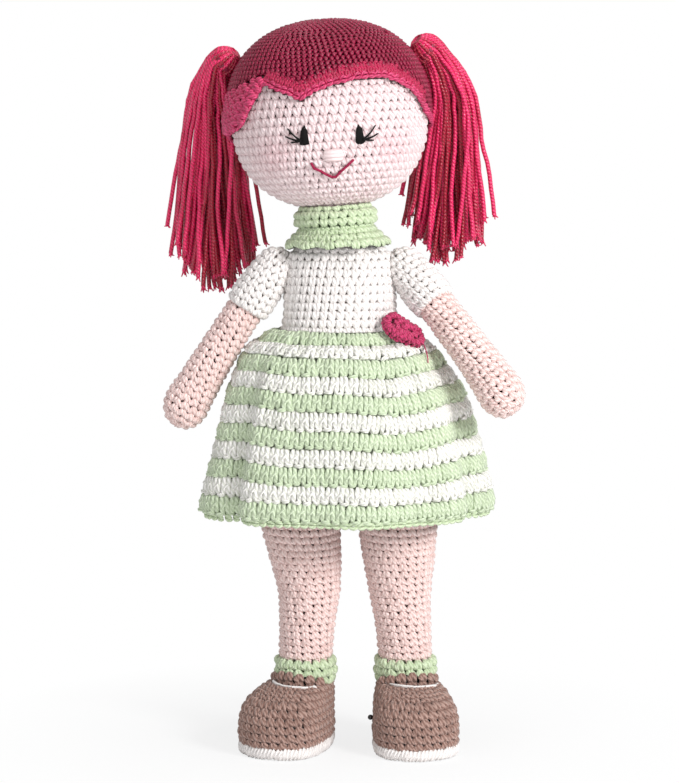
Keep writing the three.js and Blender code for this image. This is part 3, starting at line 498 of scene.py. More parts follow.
strand = wired(plies, "ShaderNodeSeparateXYZ", {0: named("yarn", "Vector")}).outputs
round_strand = number("ARCTAN2", strand[1], strand[0])
winding = number(
    "ADD", number("MULTIPLY", round_strand, given["Plies"]), number("MULTIPLY", strand[2], given["Twist"]),
)
ply = number("MULTIPLY_ADD", number("SINE", winding), 0.5, 0.5)
fibre = noise_of(1100, 4)
patchy = noise_of(38, 2)
base = blended(named("stripe"), given["Colour"], given["Second colour"])
# Painted shade: the grooves between the plies are multiplied by the groove shade colour.
ply_groove_shade_share = number("MULTIPLY", number("SUBTRACT", 1, ply), 0.75)
grooved = blended(ply_groove_shade_share, base, given["Groove shade"], "MULTIPLY")
uneven = number("SUBTRACT", number("ADD", named("tone"), patchy), 1)
darker = number("MINIMUM", number("MULTIPLY", number("MAXIMUM", uneven, 0), given["Uneven tone"]), 1)
deeper = blended(1.0, grooved, given["Groove shade"], "MULTIPLY")
shaded = blended(darker, grooved, deeper)
napped = blended(number("MULTIPLY", fibre, 0.2), shaded, given["Groove shade"], "MULTIPLY")
# Painted shade: the wall has no surface mark, so it is multiplied by the under shade colour and reads dark
# in the holes between the stitches.
under = number("SUBTRACT", 1, named("surface"))
wired(plies, "NodeGroupOutput", {
    "Colour": blended(under, napped, given["Under shade"], "MULTIPLY"),
    "Height": number("ADD", ply, number("MULTIPLY", fibre, 0.6)),
    "Roughness": number("SUBTRACT", number("MULTIPLY_ADD", fibre, 0.15, 0.76), given["Shine"]),
})


def bumpy(tree, height, strength, distance):
    """Normal of a surface with a relief."""
    feeds = {"Height": height, "Strength": strength, "Distance": distance}
    return wired(tree, "ShaderNodeBump", feeds).outputs["Normal"]


def finished(name, values):
    """Material and its tree, with values set on its shader."""
    finish = bpy.data.materials.new(name)
    finish.use_nodes = True
    for label, value in values.items():
        finish.node_tree.nodes["Principled BSDF"].inputs[label].default_value = value
    return finish, finish.node_tree


def fed(tree, feeds):
    """Links outputs of other nodes to the shader's inputs."""
    for label, output in feeds.items():
        tree.links.new(output, tree.nodes["Principled BSDF"].inputs[label])


# groove is the colour of the painted shade in the ply grooves, also used for darker uneven stitches and the
# nap; under is the colour of the painted shade on the wall between the stitches.
def yarn(
    name, colour, second=None, groove="d8cccc", under="32241f", twist=9.0, bump=0.5, sheen=0.25,
    plies_count=3, uneven=0.5, shine=0,
):
    """Material of one yarn."""
    finish, tree = finished(name, {
        "Sheen Weight": sheen, "Sheen Roughness": 0.45, "Specular IOR Level": 0.25 + 0.5 * shine,
    })
    strands = wired(tree, "ShaderNodeGroup", node_tree=plies)
    for label, value in (
        ("Colour", paint(colour)), ("Second colour", paint(second or colour)),
        ("Groove shade", paint(groove)), ("Under shade", paint(under)), ("Twist", twist),
        ("Plies", plies_count), ("Uneven tone", uneven), ("Shine", shine),
    ):
        strands.inputs[label].default_value = value
    fed(tree, {
        "Base Color": strands.outputs["Colour"], "Roughness": strands.outputs["Roughness"],
        "Normal": bumpy(tree, strands.outputs["Height"], bump, 0.0003),
    })
    return finish


limb_yarn = yarn("pale pink limb yarn", "fbe5e1", groove="d8c8c4", under="241410")
for side in ("left", "right"):
    rows = [
        (0, hip_height + hip_radius * cos(radians(tip)), hip_radius * sin(radians(tip)))
        for tip in (0, 22.5, 45, 67.5)
    ]
    rows.append((0, hip_height, hip_radius))
    for share, size in leg_shares:
        drift = between(leg_drift[side], share) * hip_height
        rows.append((drift, hip_height * (1 - share), size * thigh_radius))

    def leg_skin(share, turn, rows=rows, side=side):
        drift, height, radius = spline(rows, share)
        radius -= leg_inset
        return Vector((hip_x[side] + drift + radius * cos(turn), radius * sin(turn), height))

    leg = in_rounds(
        "leg_knit_" + side, leg_skin, limb_yarn, seed=3, sense=-1,
        stitches={"tall": 0.004, "wide": 0.0053, "first": 0.06},
        behind={"inset": 0.0001, "rows": 60, "sides": 40, "first": 0.04},
    )
    worn_by(leg, "leg_" + side, "limb_yarn", "leg_cover_" + side)


# Socks: a turned cuff of mint yarn round each ankle, three rounds of fat stitches that ruffle
# a little, sewn to the leg just above the shoe.
toe_out = {"left": radians(-30), "right": radians(12)}
sock_low = 0.0362
sock_top = 0.0505
sock_radius = 0.0168
sock_wave = 0.0005
sock_inset = 0.0012
sock_shares = [(0, 0.93), (0.35, 0.99), (0.75, 1.0), (1, 0.93)]
mint_yarn = yarn("mint yarn", "d8e4c5", groove="d0d8c8", under="3e4832")
foot_frame = {}
for side in ("left", "right"):
    ankle = Vector((hip_x[side] + leg_drift[side][-1][1] * hip_height, 0, 0))
    foot_frame[side] = Matrix.Translation(ankle) @ Matrix.Rotation(toe_out[side], 4, "Z")

    def sock_skin(share, turn, side=side):
        rise, size = spline(sock_shares, 1 - share)
        radius = size * sock_radius - sock_inset + sock_wave * sin(7 * turn + 9 * share)
        return foot_frame[side] @ ringed(radius, turn, sock_low + rise * (sock_top - sock_low))

    sock = in_rounds(
        "sock_knit_" + side, sock_skin, mint_yarn, seed=5, sense=-1,
        stitches={"tall": 0.0048, "wide": 0.0052},
        behind={"inset": 0, "rows": 8, "sides": 40, "thickness": 0.0012},
    )
    worn_by(sock, "leg_" + side, "mint_yarn", "sock_" + side)


# Shoes: brown uppers crocheted in rounds from the opening down to the sole, stuffed so that
# they stay round, on thick white soles with slanting stitches. A brown tongue stands in the
# opening, a line of white yarn runs round the front of it, and one shoe has a black bead.
shoe_height = 0.037
heel_radius = 0.016
toe_radius = 0.026
toe_reach = 0.023
opening_half_depth = 0.0194
opening_forward = 0.0036
tuck = 0.0024
shoe_inset = 0.0012
upper_sink = 0.001
sole_inset = 0.001
shoe_shares = [
    (0.2, 0, 0.35), (0.35, 0, 0), (0.57, 0, 0.2), (0.73, 0.12, 0.1), (0.865, 0.38, 0), (0.965, 0.7, 0),
    (1, 1, 0),
]
sole_rows = [(0.0003, 0.0036), (0.0016, 0.0012), (0.004, 0.0002), (0.0074, 0.0006)]
tongue_half_angle = radians(58)
tongue_radius = 0.0178
tongue_thickness = 0.0014
tongue_below = 0.006
tongue_above = 0.0005
tongue_bow = 0.0058
tongue_rows = 2
tongue_columns = 7
tongue_size = (0.0052, 0.0046, 0.0046)
tongue_row_step = 0.004
tongue_row_bow = 0.0045
tongue_first_row = 0.0035
tongue_steps = 12
edging_steps = 12
edging_rise = 0.001
edging_half_angle = radians(64)
edging_radius = 0.0009


def shoe_ring(height, to_ankle, inset, turn):
    """Point of the shoe's outline, wider at the toe and nearer to the opening further up."""
    toeward = min(max((1 - 1.5 * sin(turn)) / 2, 0), 1)
    blend = toeward * toeward * (3 - 2 * toeward)
    radius = heel_radius + (toe_radius - heel_radius) * blend - inset
    low = Vector((radius * cos(turn), radius * sin(turn) - toe_reach * blend, height))
    side_reach, front_reach = heel_radius - inset, opening_half_depth - inset
    high = Vector((side_reach * cos(turn), front_reach * sin(turn) - opening_forward, height))
    return low.lerp(high, to_ankle)


def strip_mesh(name, corners):
    """Closed band through sections of four corners each."""
    last = len(corners) // 4 - 1
    sides = [
        (4 * k + i, 4 * k + 4 + i, 4 * k + 4 + (i + 1) % 4, 4 * k + (i + 1) % 4)
        for k in range(last) for i in range(4)
    ]
    mesh = bpy.data.meshes.new(name)
    mesh.from_pydata(corners, [], sides + [(0, 1, 2, 3), tuple(4 * last + i for i in (3, 2, 1, 0))])
    return mesh


slanted_stitch = pattern_object("slanted stitch", yarn_mesh("slanted stitch", [
    [(x - 0.62, -0.52, -0.2, 0.2), (x - 0.3, -0.2, 0.16, 0.27), (x + 0.06, 0.16, 0.2, 0.28),
     (x + 0.42, 0.52, -0.1, 0.22)]
    for x in (0, 0.5)
]))
shoe_yarn = yarn("brown shoe yarn", "bb9c91", groove="9e867c", under="180c08", bump=0.9)
white_yarn = yarn("white yarn", "fbf6f4", groove="dcdad8", under="6c6664")
for side in ("left", "right"):
    frame_here = foot_frame[side]

    def upper_skin(share, turn, frame_here=frame_here):
        rise, to_ankle, tucked = spline(shoe_shares, 1 - share)
        height = rise * shoe_height - upper_sink
        return frame_here @ shoe_ring(height, min(to_ankle, 1), shoe_inset + tucked * tuck, turn)

    upper = in_rounds(
        "shoe_knit_" + side, upper_skin, shoe_yarn, seed=7, sense=-1,
        stitches={"tall": 0.0046, "wide": 0.005, "first": 0.04},
        behind={"inset": 0, "rows": 30, "sides": 48, "thickness": 0.0015},
    )
    worn_by(upper, "leg_" + side, "shoe_yarn", "shoe_upper_" + side)

    def sole_skin(share, turn, frame_here=frame_here):
        height, inset = spline(sole_rows, share)
        return frame_here @ shoe_ring(height, 0, inset + sole_inset, turn)

    sole = crocheted(
        "sole_knit_" + side,
        lay_rounds(sole_skin, tall=0.007, wide=0.0042, sense=1, first=0.2, last=0.96, rounds=1),
        slanted_stitch,
        wall("sole wall", sole_skin, inset=0.0003, rows=12, sides=48, sense=1),
        white_yarn,
        seed=9,
    )
    for point in sole.data.vertices:
        point.co.z = max(point.co.z, 0)
    worn_by(sole, "leg_" + side, "bodice_yarn", "sole_" + side)

    tongue_stitches = []
    for row in range(tongue_rows):
        for column in range(tongue_columns):
            turn = -pi / 2 + tongue_half_angle * (2 * column / (tongue_columns - 1) - 1)
            lean = cos((turn + pi / 2) * 1.2)
            height = shoe_height - tongue_first_row + tongue_row_step * row + tongue_row_bow * lean
            outward = frame_here.to_3x3() @ Vector((cos(turn), sin(turn), 0.35)).normalized()
            across = frame_here.to_3x3() @ Vector((sin(turn), -cos(turn), 0))
            spot = frame_here @ ringed(tongue_radius, turn, height)
            tongue_stitches.append((spot, across, outward, tongue_size, 0.0))
    lip = []
    for k in range(tongue_steps + 1):
        turn = -pi / 2 + tongue_half_angle * 1.08 * (2 * k / tongue_steps - 1)
        low = shoe_height - tongue_below
        top = shoe_height + tongue_above + tongue_bow * max(cos((turn + pi / 2) * 1.35), 0)
        inner = tongue_radius - tongue_thickness
        for radius, height in ((tongue_radius, low), (tongue_radius, top), (inner, top), (inner, low)):
            lip.append(frame_here @ ringed(radius, turn, height))
    tongue_wall = strip_mesh("tongue wall", lip)
    tongue = crocheted(
        "tongue_knit_" + side, tongue_stitches, single_stitch, tongue_wall, shoe_yarn, seed=11,
    )
    worn_by(tongue, "leg_" + side, "shoe_yarn", "tongue_" + side)

    edge = []
    for k in range(edging_steps + 1):
        along = k / edging_steps
        turn = -pi / 2 + edging_half_angle * (2 * along - 1)
        to_ankle = 1.0 - 0.22 * along ** 1.5
        height = (1 - 0.117 * (1 - to_ankle)) * shoe_height + edging_rise
        tucked_in = max(abs(k - 6) - 4, 0) / 2
        inset = 0.0004 + 0.0003 * sin(3 * k) + 0.001 * tucked_in
        spot = frame_here @ shoe_ring(height, to_ankle, inset, turn)
        edge.append((*spot, edging_radius + 0.0001 * sin(5 * k) - 0.0003 * tucked_in))
    knot = Vector(edge[-1 if side == "left" else 0][:3])
    blob = [
        (*(knot + Vector((0.0006 * cos(t), 0.0006 * sin(t), 0.0004 * sin(2 * t)))), edging_radius)
        for t in (0, 2, 4, 6, 8)
    ]
    edging_mesh = yarn_mesh("shoe edging", [edge, blob], sides=6, steps=24)
    edging = new_piece("shoe_edging_yarn_" + side, edging_mesh, white_yarn)
    worn_by(edging, "leg_" + side, "bodice_yarn", "shoe_edging_" + side)


# Torso: the bodice, white yarn in rounds from the waist to the neck, with a narrow panel between
# the legs. The legs are strung through its bottom and the arms to its shoulders.
torso_x = 0.0003
torso_low = 0.205
torso_height = 0.079
torso_half_width = 0.043
torso_half_depth = 0.03
torso_inset = 0.0012
torso_shares = [
    (-0.1, 0.62, 0.6), (0, 0.93, 0.9), (0.09, 1, 1), (0.215, 0.92, 0.95), (0.315, 0.825, 0.87),
    (0.405, 0.767, 0.817), (0.52, 0.73, 0.78), (0.67, 0.72, 0.74), (0.823, 0.70, 0.683), (0.9, 0.685, 0.627),
    (0.95, 0.65, 0.58), (1, 0.52, 0.54), (1.03, 0.28, 0.4),
]
shoulder = {"left": Vector((-0.0365, 0, 0.273)), "right": Vector((0.037, 0, 0.273))}
shoulder_radius = 0.011


def torso_skin(share, turn):
    rise, wide, deep = spline(torso_shares, share)
    return Vector((
        torso_x + (wide * torso_half_width - torso_inset) * cos(turn),
        (deep * torso_half_depth - torso_inset) * sin(turn),
        torso_low + rise * torso_height,
    ))


def free_of_joints(place):
    """Clear of the balls at the hips and shoulders."""
    hips = min((place - Vector((x, 0, hip_height))).length for x in hip_x.values())
    arms = min((place - centre).length for centre in shoulder.values())
    return hips > hip_radius and arms > shoulder_radius - 0.001


torso = in_rounds(
    "bodice_knit", torso_skin, white_yarn, seed=13, sense=1,
    stitches={"tall": 0.0046, "wide": 0.0047, "first": 0.05, "last": 0.97, "keep": free_of_joints},
    behind={"inset": 0, "rows": 60, "sides": 48},
)
worn_by(torso, "torso", "bodice_yarn", "torso_cover")

crotch_middle = 0.00225
crotch_half_width = 0.0017
crotch_half_depth = 0.0125
crotch_low = 0.1893
crotch_top = 0.2065


def crotch_skin(share, turn):
    narrow = sqrt(max(1 - (1 - share) ** 2.5, 0.02))
    return Vector((
        crotch_middle + crotch_half_width * narrow * cos(turn),
        crotch_half_depth * narrow * sin(turn),
        crotch_low + share * (crotch_top - crotch_low),
    ))


crotch = in_rounds(
    "crotch_knit", crotch_skin, white_yarn, seed=39, sense=1,
    stitches={"tall": 0.0045, "wide": 0.0045},
    behind={"inset": 0.0002, "rows": 12, "sides": 32},
)
worn_by(crotch, "torso", "bodice_yarn", "torso_cover")


# Skirt: a bell of eleven rounds of tall stitches, mint and white in turn, worked from the waist
# down and gathered there, with soft folds that deepen towards the hem.
skirt_top = 0.238
skirt_low = 0.137
skirt_half_width = 0.0807
skirt_half_depth = 0.062
skirt_centre = 0.0031
fold_depth = 0.0036
fold_count = 9
gather_depth = 0.0012
gather_count = 24
row_sway = 0.05
row_droop = 0.045
pleats = [
    (radians(217), -0.0066, radians(6)),
    (radians(229), 0.0024, radians(7)),
    (radians(334), -0.0045, radians(6)),
]
skirt_shares = [
    (1, 0.447, 0.447, 0.1), (0.95, 0.514, 0.492, -0.5), (0.881, 0.651, 0.629, 0),
    (0.782, 0.721, 0.718, 0.15), (0.624, 0.822, 0.823, 0.8), (0.446, 0.886, 0.887, 1),
    (0.307, 0.929, 0.927, 1.05), (0.06, 1, 1, 1), (0, 0.985, 0.992, 1),
]
skirt_rounds = 11
skirt_inset = 0.0012


def skirt_surface(rise, wide, deep, drift, turn, inset):
    """Point of the skirt, with its folds, gathers and pleats."""
    main = cos(fold_count * turn + 0.4)
    second = cos((fold_count - 4) * turn + 0.8)
    folds = fold_depth * (1 - rise) * (main * 0.6 + second * 0.4)
    gathers = gather_depth * max(rise, 0) ** 2 * cos(gather_count * turn + 2 * sin(3 * turn))
    for middle, depth, breadth in pleats:
        away = (turn % (2 * pi) - middle) / breadth
        folds += depth * (1 - rise) ** 0.6 * exp(-away * away) if rise < 1 else 0
    swell = 1 + (folds + gathers) / skirt_half_width
    sway = row_sway * (sin(3 * turn + 1.1) + 0.6 * sin(7 * turn))
    rise += rise * (1 - rise) * (sway + 4 * row_droop * (cos(turn) ** 2 - 0.5))
    return Vector((
        skirt_centre * drift + (wide * skirt_half_width - inset) * swell * cos(turn),
        (deep * skirt_half_depth - inset) * swell * sin(turn),
        skirt_low + rise * (skirt_top - skirt_low),
    ))


def skirt_skin(share, turn):
    rise, wide, deep, drift = spline(skirt_shares, share)
    return skirt_surface(rise, wide, deep, drift, turn, skirt_inset)


tall_stitch = pattern_object("tall stitch", yarn_mesh("tall stitch", [
    [(-0.15, -0.98, -0.16, 0.22), (-0.23, -0.66, 0.10, 0.29), (-0.25, -0.1, 0.17, 0.31),
     (-0.25, 0.50, 0.14, 0.31), (-0.28, 0.96, -0.08, 0.24)],
    [(0.18, -0.98, -0.16, 0.22), (0.25, -0.66, 0.10, 0.29), (0.26, -0.1, 0.17, 0.31),
     (0.27, 0.50, 0.14, 0.31), (0.31, 0.96, -0.08, 0.24)],
    [(-0.50, -0.36, -0.04, 0.16), (-0.2, -0.12, 0.34, 0.19), (0.2, 0.14, 0.34, 0.19),
     (0.5, 0.38, -0.02, 0.16)],
    [(0.18, 0.84, -0.16, 0.18), (0.4, 0.92, 0.14, 0.24), (0.64, 0.93, 0.15, 0.24),
     (0.98, 0.84, -0.16, 0.18)],
], sides=5, steps=4))
tall_stitch_aspect = 2.0
skirt_yarn = yarn(
    "mint and white yarn", "dbe7cb", second="fdf9f7", groove="cdd2c6", under="5c6056", bump=0.8,
)
skirt_stitches = lay_rounds(
    skirt_skin, tall=0.0102, wide=0.0052, sense=-1, rounds=skirt_rounds,
    colour=lambda row, place: float(row % 2),
)
skirt_stitches = [
    (place, across, outward, (wide, tall / tall_stitch_aspect, deep), shade)
    for place, across, outward, (wide, tall, deep), shade in skirt_stitches
]
skirt = crocheted("skirt_knit", skirt_stitches, tall_stitch, None, skirt_yarn, seed=15, unevenness=0.06)
worn_by(skirt, "torso", "skirt_yarn", "skirt")
# The ground under the skirt's stitches has no surface mark, so all of it takes the yarn's painted shade.
skirt_ground = new_piece("skirt_ground", wall(
    "skirt ground", skirt_skin, inset=0, rows=66, sides=144, sense=-1, thickness=0.0016,
    colour=lambda share: int(share * skirt_rounds) % 2,
), skirt_yarn)
worn_by(skirt_ground, "torso", "skirt_yarn")


# Hem: a chain of mint yarn under the skirt's last round. It follows the folds and covers the
# lower edge of the cloth.
chain_stitch = pattern_object("chain stitch", yarn_mesh("chain stitch", [
    [(-0.6, 0.0, -0.2, 0.16), (-0.2, 0.22, 0.14, 0.24), (0.25, 0.3, 0.2, 0.26),
     (0.62, 0.08, -0.02, 0.18)],
    [(-0.6, -0.02, -0.2, 0.16), (-0.2, -0.24, 0.14, 0.24), (0.25, -0.3, 0.2, 0.26),
     (0.62, -0.08, -0.02, 0.18)],
], sides=6, steps=5))


def lay_along(points, outwards, length, width, shades=(0.0, 0.0)):
    """Chain stitches along a line of points, each with its direction out of the surface."""
    run = [0.0]
    for p, q in zip(points, points[1:]):
        run.append(run[-1] + (q - p).length)
    count = max(1, round(run[-1] / length))
    step = run[-1] / count
    size = (step, width, width)
    stitches = []
    for i in range(count):
        place = between(list(zip(run, points)), (i + 0.5) * step)
        ahead = between(list(zip(run, points)), (i + 0.9) * step)
        outward = between(list(zip(run, outwards)), (i + 0.5) * step)
        shade = shades[0] + (shades[1] - shades[0]) * (i + 0.5) / count
        stitches.append((place, (ahead - place).normalized(), outward.normalized(), size, shade))
    return stitches


hem_radius = 0.0016
hem_steps = 180
hem_turns = [2 * pi * k / hem_steps for k in range(hem_steps + 1)]
hem_points = [
    skirt_surface(0, 0.985, 0.992, 1, turn, hem_radius) - Vector((0, 0, hem_radius)) for turn in hem_turns
]
hem_outwards = [ringed(1, turn, -0.3) for turn in hem_turns]
hem_stitches = lay_along(hem_points, hem_outwards, length=0.0046, width=0.0044)
hem = crocheted("hem_chain", hem_stitches, chain_stitch, None, mint_yarn, seed=16)
worn_by(hem, "torso", "mint_yarn", "skirt_hem")


# Rose: a strip of V stitches in rose yarn, rolled into a bud with a chain along its free edge
# and sewn at the waist. The end of the yarn hangs out below it.
rose_place = Vector((0.035, -0.0176, 0.236))
rose_facing = Vector((0.593, -0.545, 0.593)).normalized()
rose_turns = 2.6
rose_reach = 0.0084
rose_oval = 0.45
rose_tip = radians(-40)
rose_height = 0.0062
rose_ruffle = 0.12
rose_petals = 6
petal_thickness = 0.0016
rose_core = 0.0012
rose_stitch_width = 0.0028
rim_lift = 0.0006
rose_tail_radius = 0.00032
rose_tail_reach = 0.0122
rose_frame = Matrix.Translation(rose_place) @ rose_facing.to_track_quat("Z", "Y").to_matrix().to_4x4()
rose_yarn = yarn("rose yarn", "d83c76", groove="8c3c5c", under="5c1028", sheen=0.15, shine=0.3)


def rose_edge(share):
    """Radius, turn and height of the strip's free edge at a share of its length."""
    turn = 2 * pi * rose_turns * share
    height = rose_height * (1 - 0.35 * share) * (1 + rose_ruffle * share * cos(rose_petals * turn))
    oval = 1 + rose_oval * share * cos(2 * (turn - rose_tip))
    return (rose_core + rose_reach * share) * oval, turn, height


rose_steps = 72
rose_turned = rose_frame.to_3x3()
strip = []
for k in range(rose_steps + 1):
    inner, turn, height = rose_edge(k / rose_steps)
    outer = inner + petal_thickness
    for radius, z in ((inner, 0), (outer, 0), (outer, height), (inner, height)):
        strip.append(rose_frame @ ringed(radius, turn, z))
rose_stitches, rim_points = [], []
along = 0.0
for k in range(rose_steps * 4):
    radius, turn, height = rose_edge(k / rose_steps / 4)
    rim_points.append(rose_frame @ ringed(radius + rim_lift, turn, height + rim_lift / 2))
    if k and (rim_points[-1] - rim_points[-2]).length + along < rose_stitch_width:
        along += (rim_points[-1] - rim_points[-2]).length
        continue
    along = 0.0
    outward = rose_turned @ ringed(1, turn, 0)
    across = rose_turned @ Vector((-sin(turn), cos(turn), 0))
    for row in range(2):
        spot = rose_frame @ ringed(radius + petal_thickness - 0.0002, turn, height * (row + 0.5) / 2)
        rose_stitches.append((spot, across, outward, (0.0029, height / 2, rose_stitch_width), 0.0))
rose_stitches += lay_along(rim_points, [rose_facing] * len(rim_points), length=0.003, width=0.0034)
rose_wall = strip_mesh("rose wall", strip)
rose = crocheted(
    "rose_knit", rose_stitches, single_stitch, rose_wall, rose_yarn, seed=33, unevenness=0.1,
)
worn_by(rose, "torso", "rose_yarn", "rose")
tail_start = rose_frame @ ringed(rose_tail_reach, rose_tip, 0.002)
tail_steps = ((0, 0, 0.002), (0.0018, -0.003, -0.002), (0.003, -0.006, -0.006), (0.0034, -0.0078, -0.01))
tail = new_piece("rose_thread_tail", yarn_mesh("rose thread tail", [
    [(*(tail_start + Vector(step)), rose_tail_radius) for step in tail_steps],
], sides=6, steps=12), rose_yarn)
worn_by(tail, "torso", "rose_yarn")


# Arms: stuffed tubes of the limb yarn with rounded hands, each in a short white sleeve that is
# sewn over a ball at the shoulder. The right one is held a little forward.
arm_length = 0.1055
hand_radius = 0.012
arm_bow = 0.0015
arm_inset = 0.0012
arm_shares = [
    (0.2, 0.77), (0.27, 0.8), (0.5, 0.84), (0.7, 0.9), (0.82, 0.975), (0.89, 1), (0.945, 0.88),
    (0.985, 0.55), (1, 0),
]
sleeve_ball = 0.0101
sleeve_inset = 0.001
sleeve_rows = [(-sleeve_ball * cos(radians(t)), sleeve_ball * sin(radians(t))) for t in (8, 30, 60)]
sleeve_rows += [(0, 0.0104), (0.011, 0.0117), (0.02, 0.0121), (0.026, 0.0116), (0.0278, 0.0105)]
splay = {"left": radians(32.5), "right": radians(-34)}
forward = {"left": 0, "right": radians(-28)}
for side, sign in (("left", -1), ("right", 1)):
    arm_frame = (
        Matrix.Translation(shoulder[side]) @ Matrix.Rotation(forward[side], 4, "X")
        @ Matrix.Rotation(splay[side], 4, "Y")
    )

    def arm_point(length, radius, turn, arm_frame=arm_frame, sign=sign):
        bow = sign * arm_bow * sin(pi * min(max(length / arm_length, 0), 1))
        return arm_frame @ Vector((bow + radius * cos(turn), radius * sin(turn), -length))

    def arm_skin(share, turn, arm_point=arm_point):
        along, size = spline(arm_shares, share)
        return arm_point(along * (arm_length - 0.001), max(size * hand_radius - arm_inset, 0), turn)

    def sleeve_skin(share, turn, arm_point=arm_point):
        length, radius = spline(sleeve_rows, share)
        return arm_point(length, radius - sleeve_inset, turn)

    arm = in_rounds(
        "arm_knit_" + side, arm_skin, limb_yarn, seed=17, sense=-1,
        stitches={"tall": 0.0041, "wide": 0.0052, "last": 0.985},
        behind={"inset": 0, "rows": 50, "sides": 28, "last": 0.985},
    )
    worn_by(arm, "arm_" + side, "limb_yarn", "arm_cover_" + side)
    sleeve = in_rounds(
        "sleeve_knit_" + side, sleeve_skin, white_yarn, seed=19, sense=-1,
        stitches={"tall": 0.0042, "wide": 0.0048},
        behind={"inset": 0, "rows": 30, "sides": 28, "thickness": 0.001},
    )
    worn_by(sleeve, "arm_" + side, "bodice_yarn", "sleeve_" + side)


# Neck and collar: a skin yarn tube round a wooden dowel carries the head. A fat mint roll and
# a flared, scalloped frill below it are worked round the neck.
head_roll = radians(3.6)
neck_frame = Matrix.Translation((-0.0011, 0, 0.284)) @ Matrix.Rotation(-head_roll, 4, "Y")
neck_radius = 0.0156
neck_inset = 0.001
neck_low = 0.001
neck_tall = 0.026
roll_radius = 0.0191
roll_half_thickness = 0.0033
roll_half_height = 0.0059
roll_inset = 0.0009
roll_height = 0.017
frill_radius = 0.0282
frill_top = 0.0108
frill_drop = 0.0098
frill_dip = 0.0005
frill_lift = 0.0008
frill_wave = 0.0013
frill_overlap = 0.0005
frill_scallops = 11
skin_yarn = yarn("pale pink skin yarn", "f8e7e8", second="f4bcc4")


def neck_skin(share, turn):
    return neck_frame @ ringed(neck_radius - neck_inset, turn, neck_low + neck_tall * share)


neck = in_rounds(
    "neck_knit", neck_skin, skin_yarn, seed=21, sense=1,
    stitches={"tall": 0.005, "wide": 0.0047},
    behind={"inset": 0, "rows": 6, "sides": 28, "thickness": 0.001},
)
worn_by(neck, "torso", "skin_yarn", "neck_cover")


def roll_skin(share, turn):
    section = 2 * pi * share - pi
    radius = roll_radius + (roll_half_thickness - roll_inset) * cos(section)
    return neck_frame @ ringed(radius, turn, roll_height + (roll_half_height - roll_inset) * sin(section))


roll = in_rounds(
    "collar_roll_knit", roll_skin, mint_yarn, seed=23, sense=1,
    stitches={"tall": 0.0048, "wide": 0.0052, "rounds": 6},
    behind={"inset": 0.0002, "rows": 24, "sides": 40},
)
worn_by(roll, "torso", "mint_yarn", "collar_roll")


def frill_skin(share, turn):
    wave = cos(frill_scallops * turn)
    inner = roll_radius - frill_overlap
    outer = frill_radius + frill_wave * wave * share ** 3
    drop = frill_drop + frill_dip * wave + frill_lift * (cos(turn) - 1)
    return neck_frame @ ringed(inner + (outer - inner) * share, turn, frill_top - drop * share ** 1.15)


frill = crocheted(
    "collar_frill_knit",
    lay_rounds(frill_skin, tall=0.0048, wide=0.0048, sense=-1, rounds=3),
    single_stitch,
    None,
    mint_yarn,
    seed=25,
)
worn_by(frill, "torso", "mint_yarn", "collar_frill")
# The frill's ground has no surface mark, so all of it takes the yarn's painted shade.
frill_ground = new_piece("frill_ground", wall(
    "frill ground", frill_skin, inset=0.0004, rows=16, sides=132, sense=-1, thickness=0.0012,
), mint_yarn)
worn_by(frill_ground, "torso", "mint_yarn")


# Head: a wide flattened ball of skin yarn, crocheted in rounds from the neck up. It leans a
# little to the left with the neck, and its cheeks are redder.
head_above_neck = 0.0734
head_half_width = 0.0543
head_half_depth = 0.048
head_half_height = 0.0504
head_fullness = 2.3
head_inset = 0.0012
head_frame = neck_frame @ Matrix.Translation((0, 0, head_above_neck))
head_inverse = head_frame.inverted()
head_turned = head_frame.to_3x3()
hairline_shares = [
    (-0.985, -0.09), (-0.89, -0.03), (-0.8, 0.145), (-0.685, 0.333), (-0.63, 0.415), (-0.475, 0.32),
    (-0.376, 0.28), (-0.278, 0.208), (-0.13, 0.296), (0.057, 0.357), (0.326, 0.407), (0.573, 0.403),
    (0.694, 0.353), (0.834, 0.256), (0.925, 0.139), (0.99, -0.02),
]
back_edge = -0.005
back_fall = 0.446
under_cap = 0.003
cheek_height = -0.019
cheek_places = (-0.031, 0.033)
cheek_radius = 0.014


def head_point(share, turn, grow):
    """Point of the head's own shape in the head's frame, grown by an even amount."""
    tip = pi * (share - 0.5)
    power = 2 / head_fullness
    rise = abs(sin(tip)) ** power * (1 if tip > 0 else -1)
    narrow = max(cos(tip), 0) ** power
    return Vector((
        (head_half_width + grow) * narrow * cos(turn),
        (head_half_depth + grow) * narrow * sin(turn),
        (head_half_height + grow) * rise,
    ))


def narrowing(z, lift, most=1):
    """Share of the head's full width and depth that is left at a height."""
    return (1 - min(abs(z) / (head_half_height + lift), most) ** head_fullness) ** (1 / head_fullness)


def on_face(x, z, lift):
    """Point of the face in front of x and z of the head's frame, lifted off the surface."""
    narrow = narrowing(z, lift)
    across = x / ((head_half_width + lift) * narrow)
    return Vector((x, -(head_half_depth + lift) * narrow * sqrt(max(1 - across * across, 0)), z))


def on_side(turn, z, lift):
    """Point of the head at a turn round it and a height, lifted off the surface."""
    narrow = narrowing(z, lift)
    x, y = (head_half_width + lift) * narrow * cos(turn), (head_half_depth + lift) * narrow * sin(turn)
    return Vector((x, y, z))


def out_of_head(x, y, z):
    """Direction out of the head at a place of its frame."""
    return head_turned @ Vector((x, y * 1.2, z))


def cap_edge(place):
    """Height of the cap's edge at a place of the head's frame, on the head or just over it."""
    narrow = narrowing(place.z, 0.003, 0.98)
    reach = hypot(place.x / head_half_width, place.y / head_half_depth) / narrow
    if place.y < 0:
        return between(hairline_shares, place.x / head_half_width / reach) * head_half_height
    return back_edge - back_fall * place.y / reach


